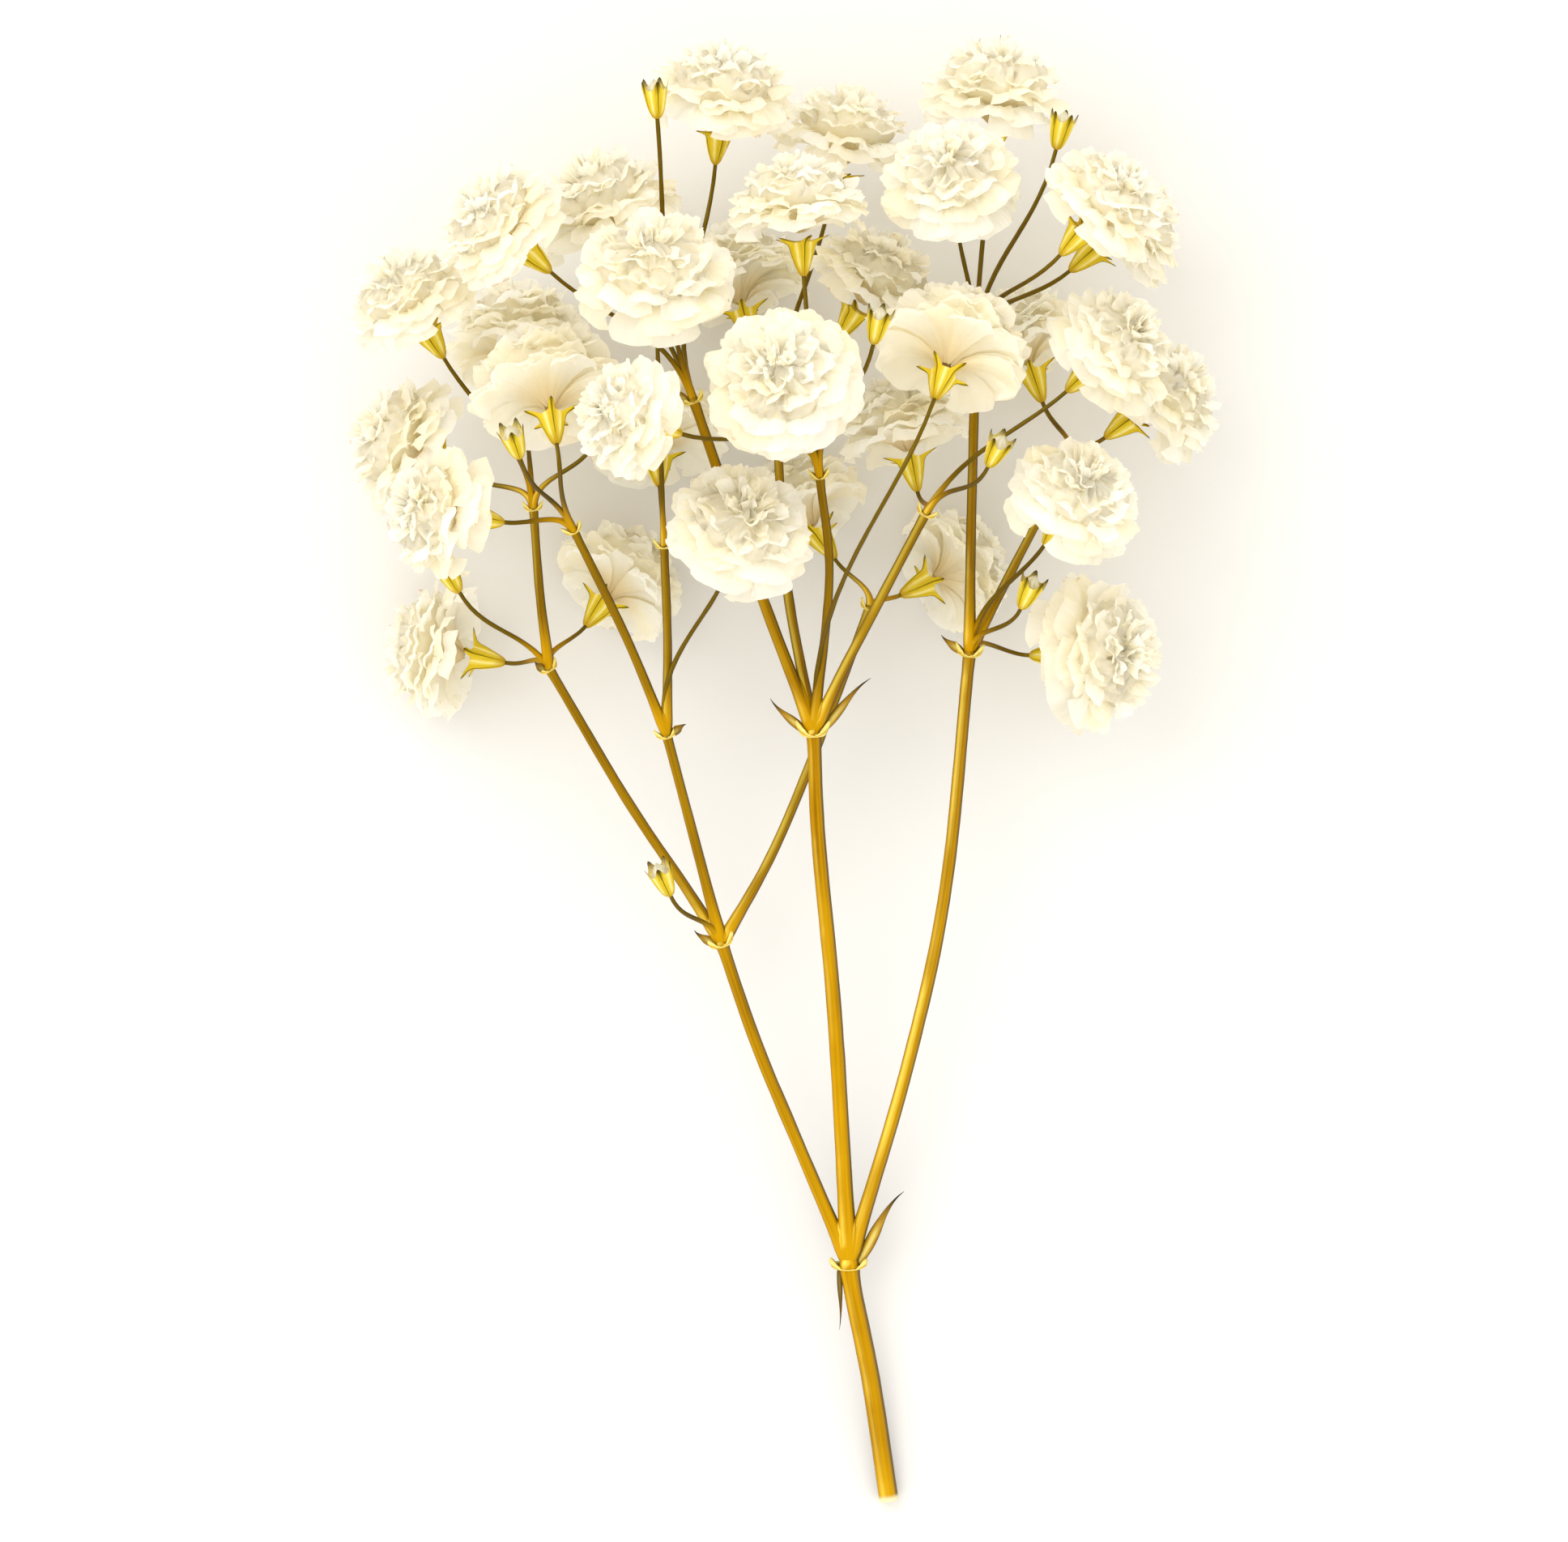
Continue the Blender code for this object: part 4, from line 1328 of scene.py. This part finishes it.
        high = reach * tree.maths("SINE", mean) + lift * tree.maths("COSINE", slope)
        high = high + t * self.climb + self.climb
        broad = u ** self.widening * (1.0 - self.foot_width) + self.foot_width
        width = tree.blend(t, *self.half_width) * broad
        angle = turn + width * v / (tree.maths("MAXIMUM", out, self.claw_edge) + self.hub)
        place = tree.vector(out * tree.maths("COSINE", angle), out * tree.maths("SINE", angle), high)
        return self.held_in(tree, place, lift, tree.chance(*self.limit_jitter, petal, seed + 8.0))

    def held_in(self, tree: ShapeTree, place: Flow, lift: Flow, less: Flow) -> Flow:
        """Pull what stands out of the rounded space that the bloom may fill gently back to its skin.

        Args:
            tree: the tree to build in.
            place: where the point would go.
            lift: how far the petal is ruffled out there.
            less: how far under the skin this petal stays.

        Returns:
            Where the point goes.
        """
        middle = (0.0, 0.0, Sprig.BLOOM_MIDDLE)
        off = tree.arrows("SUBTRACT", place, middle)
        x, y, z = tree.split(off)
        high = tree.maths("MAXIMUM", z, z * self.flatness)
        size = tree.length(tree.vector(x, y, high))
        skin = less + lift * self.limit_ruffle + self.limit
        held = tree.maths("SMOOTH_MIN", size, skin, self.limit_blend)
        return tree.arrows("ADD", tree.scaled(off, held / size), middle)

    def build(self) -> None:
        """Make every bloom."""
        tree = self.tree()
        finish = PetalFinish().material()
        for index, radius in enumerate(self.sprig.radii):
            number = index + 1
            seat = (self.sprig.seat(index) + CUT_END) * MM
            base = bpy.data.meshes.new("guide")
            piece = tree.grow(f"ruffled_bloom_{number:02d}", base, finish, Petals=self.petals,
                              Seed=self.seed_step * number, Radius=float(radius) * MM,
                              Seat=tuple(map(float, seat)), Axis=tuple(map(float, self.sprig.axis(index))))
            hand_in(piece, "petal", f"bloom_{number:02d}")


@dataclass
class Stalks:
    """The stem, its branches, the twigs and the pedicels: ridged lines that widen where they part."""

    sprig: Sprig
    steps: int = 14
    spacing: float = 0.00026
    sides: int = 15
    slimmer: float = 0.86
    ridges: float = 5.0
    ridge_depth: float = 0.045
    uneven_grain: float = 420.0
    unevenness: float = 0.00006
    base_flare: float = 0.55
    base_run: float = 1.7
    foot_share: float = 0.35
    foot_run: float = 0.5
    web_reach: float = 6.0
    web_steps: int = 41
    web_share: float = 1.0
    # Just above 1, so that a web never ends in a radius of nothing
    web_tip: float = 1.001
    web_power: int = 4
    swell: float = 0.12
    swell_run: float = 1.2
    below_waist: float = 0.05
    crown: Profile = ((0.4, 1.0), (0.8, 0.82), (1.2, 0.5), (1.4, 0.03))
    pedicel_radius: Pair = (0.18, 0.14)
    pedicel_flare: float = 1.6
    pedicel_run: float = 0.7
    side_shade_lean: float = 0.24
    side_shade_band: Pair = (0.43, 0.84)
    lit_way: Place = (-0.42, 0.1, 0.9)
    lit_band: Pair = (0.92, 0.99)

    def tree(self) -> ShapeTree:
        """Build the tree that gives lines their thickness.

        Returns:
            The finished tree.
        """
        tree = ShapeTree("stalks")
        lines = tree.flow("GeometryNodeMeshToCurve", {"Mesh": tree.base})
        spaced = {"Curve": lines, "Length": self.spacing}
        lines = tree.flow("GeometryNodeResampleCurve", spaced, mode="LENGTH")
        lines = tree.store(lines, "run", tree.flow("GeometryNodeSplineParameter", output="Length"))
        x, y, _ = tree.split(tree.place())
        ring = tree.store(tree.ring(self.sides), "around", tree.vector(x, y, 0.0), "FLOAT_VECTOR")
        turn = tree.maths("ARCTAN2", y, x)
        swell = 1.0 - self.ridge_depth + tree.maths("COSINE", turn * self.ridges) * self.ridge_depth
        tube = tree.drawn(lines, tree.moved(ring, tree.scaled(tree.place(), swell)))
        noise = tree.noise(tree.place(), self.uneven_grain, 2.0) - 0.5
        outwards = tree.flow("GeometryNodeInputNormal", output="Normal")
        shift = tree.scaled(outwards, noise * self.unevenness)
        tube = tree.flow("GeometryNodeSetPosition", {"Geometry": tube, "Offset": shift})
        right, _, up = tree.split(outwards)
        # How far the surface faces away from straight up, more on the right, stored for the painted shade
        tube = tree.store(tube, "painted_side_shade", tree.ease(1.0 - up + right * self.side_shade_lean, *self.side_shade_band))
        # How far the surface faces up and to the left, stored for the painted highlight
        lit = tree.flow("ShaderNodeVectorMath", {"Vector": outwards, "Vector_001": self.lit_way}, "Value",
                        operation="DOT_PRODUCT")
        tree.close(tree.store(tube, "lit", tree.ease(lit, *self.lit_band)))
        return tree

    @staticmethod
    def run(path: np.ndarray) -> np.ndarray:
        """Return how far along a path each of its points lies."""
        return np.concatenate([[0.0], np.cumsum(np.linalg.norm(np.diff(path, axis=0), axis=1))])

    def flared(self, path: np.ndarray, first: float, last: float, flare: float,
               fade: float) -> np.ndarray:
        """Return the radius at each point of a path, wider where it leaves a joint.

        Args:
            path: the points of the path.
            first: the radius that it starts with.
            last: the radius that it ends with.
            flare: how much wider it is at its joint, or nothing where it has none.
            fade: the length over which that fades.

        Returns:
            A radius for each point.
        """
        run = self.run(path)
        radii = first + (last - first) * run / run[-1]
        if not flare:
            return radii
        return radii * (1 + flare * np.exp(-run / fade)) * (
            1 - self.foot_share * np.exp(-(run / self.foot_run) ** 2))

    def jointed(self, name: str, path: np.ndarray, radii: np.ndarray) -> Line:
        """Let a twig swell a little at its joint and close in a rounded crown where others leave it.

        Args:
            name: the twig's name.
            path: the twig's points.
            radii: its radius at each point.

        Returns:
            The points up to the top of the crown and the radius at each of them.
        """
        waist = self.sprig.waist(name)
        way = self.sprig.ways[name]
        below = (path - waist) @ way < -self.below_waist
        last = radii[-1]
        off = np.linalg.norm(path[below] - waist, axis=1) / last
        swollen = radii[below] * (1 + self.swell * np.exp(-(off / self.swell_run) ** 2))
        crown = ((0.0, 1 + self.swell),) + self.crown
        more = np.array([waist + way * height * last for height, _ in crown])
        return np.vstack([path[below], more]), np.concatenate([swollen, [width * last for _, width in crown]])

    def web(self, one: Line, other: Line) -> Line:
        """Return the line that fills the crotch of two twigs and ends where they have parted.

        Args:
            one: the points and the radii of a twig.
            other: those of its neighbour.

        Returns:
            The points and the radii of the web between them.
        """
        stops = np.linspace(0.0, self.web_reach, self.web_steps)
        sides = []
        for path, radii in (one, other):
            sides.append(np.array([np.interp(stops, self.run(path), row) for row in (*path.T, radii)]))
        middle = (sides[0] + sides[1]) / 2
        parted = np.linalg.norm(sides[0][:3] - sides[1][:3], axis=0) / (middle[3] * 2 * self.web_share)
        closed = parted < 1
        closed &= np.cumprod(closed) == 1
        narrowing = np.sqrt(self.web_tip - parted[closed] ** self.web_power)
        return middle[:3, closed].T, middle[3, closed] * narrowing

    def lines(self) -> list[Line]:
        """Work out the lines of all twigs, webs and pedicels.

        Returns:
            The points and the radii of each line.
        """
        found = []
        joints = {}
        for name, start, points, first, last in TWIGS:
            foot = [] if start is None else [self.sprig.waist(start)]
            path = curve_through(foot + [np.array(point) for point in points], self.steps)
            flare = 0.0 if start is None else self.base_flare
            radii = self.flared(path, first * self.slimmer, last * self.slimmer, flare, self.base_run)
            found.append(self.jointed(name, path, radii))
            joints.setdefault(start, []).append((path, radii))
        for twigs in joints.values():
            twigs.sort(key=lambda twig: math.atan2(*(twig[0][self.steps] - twig[0][0])[:2]))
            found += [self.web(one, other) for one, other in zip(twigs, twigs[1:])]
        wide, thin = self.pedicel_radius
        for index in range(len(BLOOMS)):
            path = self.sprig.pedicel(index, self.steps)
            found.append((path, self.flared(path, wide, thin, self.pedicel_flare, self.pedicel_run)))
        for name, tip in BUDS:
            foot, axis = self.sprig.bud(name, tip)
            path = arc_to(self.sprig.ends[name], foot, self.sprig.ways[name], axis, self.steps)
            found.append((path, self.flared(path, wide, thin, self.pedicel_flare, self.pedicel_run)))
        return found

    def build(self) -> None:
        """Make all stalks as one piece."""
        points, edges, thick, tint = [], [], [], []
        lines = self.lines()
        for number, (path, radii) in enumerate(lines):
            first = len(points)
            points += list(path)
            edges += [(first + k, first + k + 1) for k in range(len(path) - 1)]
            thick += [float(r) * MM for r in radii]
            tint += [number / len(lines)] * len(path)
        base = guide_mesh(np.array(points), edges, {"thick": thick, "tint": tint})
        hand_in(self.tree().grow("stalks", base, StalkFinish().material()), "stem", "stem")


@dataclass
class Calyces:
    """The cup of five ribbed sepals under each bloom, ending in a star of narrow teeth."""

    sprig: Sprig
    rows: int = 18
    columns: int = 70
    profile: Profile = ((0.0, -2.42), (0.06, -2.32), (0.16, -1.95), (0.45, -0.95), (0.62, -0.2),
                        (0.86, -0.08), (1.0, -0.1))
    cup: Profile = ((0.0, 0.0), (0.06, 0.2), (0.16, 0.42), (0.45, 0.74), (0.62, 0.88),
                    (0.86, 0.78), (1.0, 0.0))
    tooth_reach: Profile = ((0.0, 0.0), (0.5, 0.0), (0.66, 0.45), (0.8, 1.0), (0.88, 0.3), (1.0, 0.0))
    tooth_power: float = 10.0
    tooth_swell: float = 0.12
    tooth_rise: float = 0.3
    tip_band: Pair = (0.7, 1.0)
    creases: float = 15.0
    crease: float = 0.025
    girth: float = 0.95

    def tree(self) -> ShapeTree:
        """Build the tree that puts a calyx on each point.

        Returns:
            The finished tree.
        """
        tree = ShapeTree("calyces")
        shape, rise, turn = tree.spun(self.rows, self.columns)
        tooth = tree.crest(turn) ** self.tooth_power
        reach = tree.outline(rise, self.tooth_reach) * tooth
        creases = tree.maths("COSINE", turn * self.creases) * self.crease
        radius = tree.outline(rise, self.cup) * (tooth * self.tooth_swell + creases + self.girth) + reach
        height = tree.outline(rise, self.profile) + reach * self.tooth_rise
        shape = tree.store(shape, "tipped", tree.ease(reach, *self.tip_band))
        shape = tree.wrapped(shape, radius * MM, height * MM)
        tree.close(tree.planted(shape, tree.facing(tree.named("way", "FLOAT_VECTOR"))))
        return tree

    def build(self) -> None:
        """Make all calyces as one piece."""
        seats = np.array([self.sprig.seat(i) for i in range(len(BLOOMS))])
        ways = [self.sprig.axis(i) for i in range(len(BLOOMS))]
        base = guide_mesh(seats, [], {}, {"way": ways})
        finish = SepalFinish().material()
        hand_in(self.tree().grow("calyces", base, finish), "stem", "stem")


@dataclass
class ShutBuds:
    """Shut buds: a torch of five toothed sepals with the cream tip of the petals showing."""

    sprig: Sprig
    rows: int = 18
    columns: int = 50
    profile: Profile = ((0.0, -0.06), (0.06, 0.02), (0.2, 0.4), (0.45, 1.25), (0.6, 1.95), (0.66, 1.7),
                        (0.82, 2.1), (1.0, 2.6))
    cup: Profile = ((0.0, 0.0), (0.06, 0.2), (0.2, 0.46), (0.45, 0.7), (0.6, 0.84), (0.66, 0.66),
                    (0.82, 0.42), (1.0, 0.0))
    tooth_reach: Profile = ((0.0, 0.0), (0.42, 0.0), (0.6, 0.62), (0.66, 0.0), (0.8, 0.0), (1.0, 0.0))
    tooth_power: float = 4.0
    tooth_lean: float = 0.14
    tip_band: Pair = (0.22, 0.45)
    folds: Pair = (5.0, 13.0)
    fold_band: Pair = (0.64, 0.8)
    fold: float = 0.17
    petal_band: Pair = (0.62, 0.68)

    def tree(self) -> ShapeTree:
        """Build the tree that puts a bud on each point.

        Returns:
            The finished tree.
        """
        tree = ShapeTree("shut_buds")
        shape, rise, turn = tree.spun(self.rows, self.columns)
        reach = tree.outline(rise, self.tooth_reach) * tree.crest(turn) ** self.tooth_power
        round_it, up_it = self.folds
        twisted = tree.maths("COSINE", turn * round_it + rise * up_it)
        folds = twisted * tree.ease(rise, *self.fold_band) * self.fold
        radius = tree.outline(rise, self.cup) * (folds + 1.0) + reach * self.tooth_lean
        height = tree.outline(rise, self.profile) + reach
        shape = tree.store(shape, "tipped", tree.ease(reach, *self.tip_band))
        shape = tree.store(shape, "petal_tip", tree.ease(rise, *self.petal_band))
        shape = tree.wrapped(shape, radius * MM, height * MM)
        tree.close(tree.planted(shape, tree.facing(tree.named("way", "FLOAT_VECTOR"))))
        return tree

    def build(self) -> None:
        """Make all shut buds as one piece."""
        found = [self.sprig.bud(name, tip) for name, tip in BUDS]
        feet, ways = zip(*found)
        base = guide_mesh(np.array(feet), [], {}, {"way": list(ways)})
        finish = SepalFinish(name="dried_bud").material()
        hand_in(self.tree().grow("shut_buds", base, finish), "stem", "stem")


@dataclass
class Bracts:
    """Narrow pointed leaves at the joints, hollowed along the middle, with dry brown tips."""

    sprig: Sprig
    steps: int = 28
    aside: float = 0.85
    curl: float = 0.1
    sway: float = 0.5
    hollow: float = 0.35
    thickness: float = 0.14
    sides: int = 18
    outline: Profile = ((0.0, 0.65), (0.2, 0.98), (0.4, 0.95), (0.6, 0.58), (0.8, 0.26), (1.0, 0.04))
    outline_steps: int = 8

    def tree(self) -> ShapeTree:
        """Build the tree that gives midlines their blade.

        Returns:
            The finished tree.
        """
        tree = ShapeTree("bracts")
        lines = tree.flow("GeometryNodeMeshToCurve", {"Mesh": tree.base})
        lines = tree.flow("GeometryNodeSetCurveNormal", {"Curve": lines}, mode="Z_UP")
        lines = tree.store(lines, "rise", tree.flow("GeometryNodeSplineParameter", output="Factor"))
        x, y, _ = tree.split(tree.place())
        ring = tree.store(tree.ring(self.sides), "across", x)
        ring = tree.moved(ring, tree.vector(x, y * self.thickness + x * x * self.hollow, 0.0))
        tree.close(tree.drawn(lines, ring))
        return tree

    def midline(self, name: str, way: Place, length: float, width: float,
                shares: np.ndarray) -> list[np.ndarray]:
        """Return the points along the middle of a bract, which bends like a sabre.

        Args:
            name: the joint that it grows at.
            way: the way that it points.
            length: its length.
            width: half its width, as broad ones bend more.
            shares: how far along each point lies.

        Returns:
            The points, from the foot to the tip.
        """
        axis = unit(way)
        across = unit(np.cross(axis, UP))
        lift = np.cross(across, axis)
        twig = self.sprig.ways[name]
        side = unit(np.cross(twig, UP))
        last = next(end for joint, _, _, _, end in TWIGS if joint == name)
        root = self.sprig.waist(name) + side * math.copysign(self.aside * last, axis.dot(side))
        sway = across * self.sway * width
        bend = lift * self.curl
        return [root + length * (axis * s + bend * s * s + sway * (s ** 3 - s) * s) for s in shares]

    def build(self) -> None:
        """Make all bracts as one piece."""
        points, edges, thick, dry = [], [], [], []
        shares = np.linspace(0, 1, self.steps + 1)
        smooth = curve_through([np.array(point) for point in self.outline], self.outline_steps)
        widths = np.interp(shares, smooth[:, 0], smooth[:, 1])
        for name, way, length, half_width, browned in BRACTS:
            first = len(points)
            points += self.midline(name, way, length, half_width, shares)
            edges += [(first + k, first + k + 1) for k in range(self.steps)]
            thick += [half_width * float(w) * MM for w in widths]
            dry += [browned] * len(shares)
        base = guide_mesh(np.array(points), edges, {"thick": thick, "dry": dry})
        hand_in(self.tree().grow("bracts", base, BractFinish().material()), "stem", "stem")


@dataclass
class Collars:
    """The torn papery collar round each joint, drawn up into a lobe on either side."""

    sprig: Sprig
    rows: int = 14
    columns: int = 48
    foot: float = -0.45
    low: float = 0.3
    lobes: float = 1.6
    first_low: float = 0.0
    first_lobes: float = 0.9
    radius: float = 0.98
    thickness: float = 0.42
    lean: float = 0.32
    tear: float = 1.3
    tear_grain: float = 2.6
    dent: float = 0.1
    lobe_power: float = 4.0
    least: float = 0.1
    least_wall: float = 0.3
    flare: float = 0.05

    def tree(self) -> ShapeTree:
        """Build the tree that puts a collar round each joint.

        Returns:
            The finished tree.
        """
        tree = ShapeTree("joint_collars")
        shape, rise, turn = tree.spun(self.rows, self.columns)
        tall = tree.input("Lobes", Kind.NUMBER)
        low = tree.input("Low", Kind.NUMBER)
        girth = rise * (2 * math.pi)
        share = 0.5 - tree.maths("COSINE", girth) * 0.5
        shape = tree.store(shape, "height", share)
        torn = tree.noise(tree.named("around", "FLOAT_VECTOR"), self.tear_grain, 4.0, 0.7) - 0.5
        lobe = tree.maths("ABSOLUTE", tree.maths("COSINE", turn)) ** self.lobe_power
        high = share * tree.maths("MAXIMUM", lobe * tall + torn * self.tear + low, self.least)
        wall = (tree.maths("SINE", girth) * 0.5 + 0.5) * self.thickness * (lobe + self.least_wall)
        radius = high * (lobe * self.lean + self.flare) + wall + torn * self.dent + self.radius
        shape = tree.wrapped(shape, radius, high + self.foot)
        upright = tree.facing(tree.named("way", "FLOAT_VECTOR"))
        sideways = tree.flow("FunctionNodeAlignRotationToVector", {
            "Rotation": upright, "Vector": tree.named("side", "FLOAT_VECTOR")}, axis="X", pivot_axis="Z")
        tree.close(tree.planted(shape, sideways, tree.named("thick")))
        return tree

    def build(self) -> None:
        """Make the collars: the stem's own, which is low, and those of the twigs."""
        tree = self.tree()
        finish = CollarFinish().material()
        for label, height, low, twigs in (("first_collar", self.first_lobes, self.first_low, TWIGS[:1]),
                                          ("joint_collars", self.lobes, self.low, TWIGS[1:])):
            last = [end * MM for _, _, _, _, end in twigs]
            ways = [self.sprig.ways[name] for name, _, _, _, _ in twigs]
            sides = [unit(np.cross(way, UP)) for way in ways]
            places = np.array([self.sprig.waist(name) for name, _, _, _, _ in twigs])
            base = guide_mesh(places, [], {"thick": last}, {"way": ways, "side": sides})
            hand_in(tree.grow(label, base, finish, Lobes=height, Low=low), "stem", "stem")


# Floor, light and camera

@dataclass
class Studio:
    """The pale floor, the soft light and the camera straight above."""

    floor_half: float = 1.5
    lens: float = 200.0
    sensor: float = 24.0
    margin: float = 1.035
    bounces: int = 12
    sky: float = 1.45
    sky_colour: tuple[float, ...] = (1.0, 0.99, 0.97, 1.0)
    key_colour: Place = (1.0, 0.97, 0.92)
    key_power: float = 1.35
    key_size: float = 0.5
    key_place: Place = (-0.28, 0.3, 0.55)

    def floor(self) -> None:
        """Lay the floor."""
        half = self.floor_half
        corners = [(-half, -half, 0), (half, -half, 0), (half, half, 0), (-half, half, 0)]
        mesh = bpy.data.meshes.new("floor")
        mesh.from_pydata(corners, [], [(0, 1, 2, 3)])
        mesh.materials.append(FloorFinish().material())
        made = bpy.data.objects.new("floor", mesh)
        bpy.context.scene.collection.objects.link(made)
        made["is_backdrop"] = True

    def lights(self) -> None:
        """Set the soft sky and one large soft light."""
        world = bpy.data.worlds.new("soft_sky")
        world.use_nodes = True
        sky = world.node_tree.nodes["Background"]
        sky.inputs["Color"].default_value = self.sky_colour
        sky.inputs["Strength"].default_value = self.sky
        bpy.context.scene.world = world
        lamp = bpy.data.lights.new("soft_window", "AREA")
        lamp.energy = self.key_power
        lamp.size = self.key_size
        lamp.color = self.key_colour
        made = bpy.data.objects.new("soft_window", lamp)
        made.location = self.key_place
        made.rotation_euler = (-Vector(self.key_place)).to_track_quat("-Z", "Y").to_euler()
        bpy.context.scene.collection.objects.link(made)

    def camera(self, low: Vector, high: Vector) -> None:
        """Look straight down on the middle of the sprig, with its whole length in view.

        Args:
            low: the lowest corner of the sprig's box.
            high: the highest corner of it.
        """
        eye = bpy.data.cameras.new("camera")
        eye.lens = self.lens
        eye.sensor_fit = "VERTICAL"
        eye.sensor_height = self.sensor
        away = (high[1] - low[1]) * self.margin * self.lens / self.sensor
        made = bpy.data.objects.new("camera", eye)
        made.location = ((low[0] + high[0]) / 2, (low[1] + high[1]) / 2, high[2] * 0.5 + away)
        bpy.context.scene.collection.objects.link(made)
        bpy.context.scene.camera = made

    def build(self, low: Vector, high: Vector) -> None:
        """Set up everything round the sprig.

        Args:
            low: the lowest corner of the sprig's box.
            high: the highest corner of it.
        """
        self.floor()
        self.lights()
        self.camera(low, high)
        bpy.context.scene.view_settings.view_transform = "Standard"
        bpy.context.scene.cycles.diffuse_bounces = self.bounces


def main() -> None:
    """Build the pieces in order."""
    logging.basicConfig(level=logging.INFO, format="%(message)s")
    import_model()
    solid_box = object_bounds()
    sprig = Sprig()
    for maker in (Stalks, Calyces, ShutBuds, Bracts, Collars, Blooms):
        maker(sprig).build()
    Studio().build(*solid_box)
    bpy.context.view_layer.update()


if __name__ == "__main__":
    main()
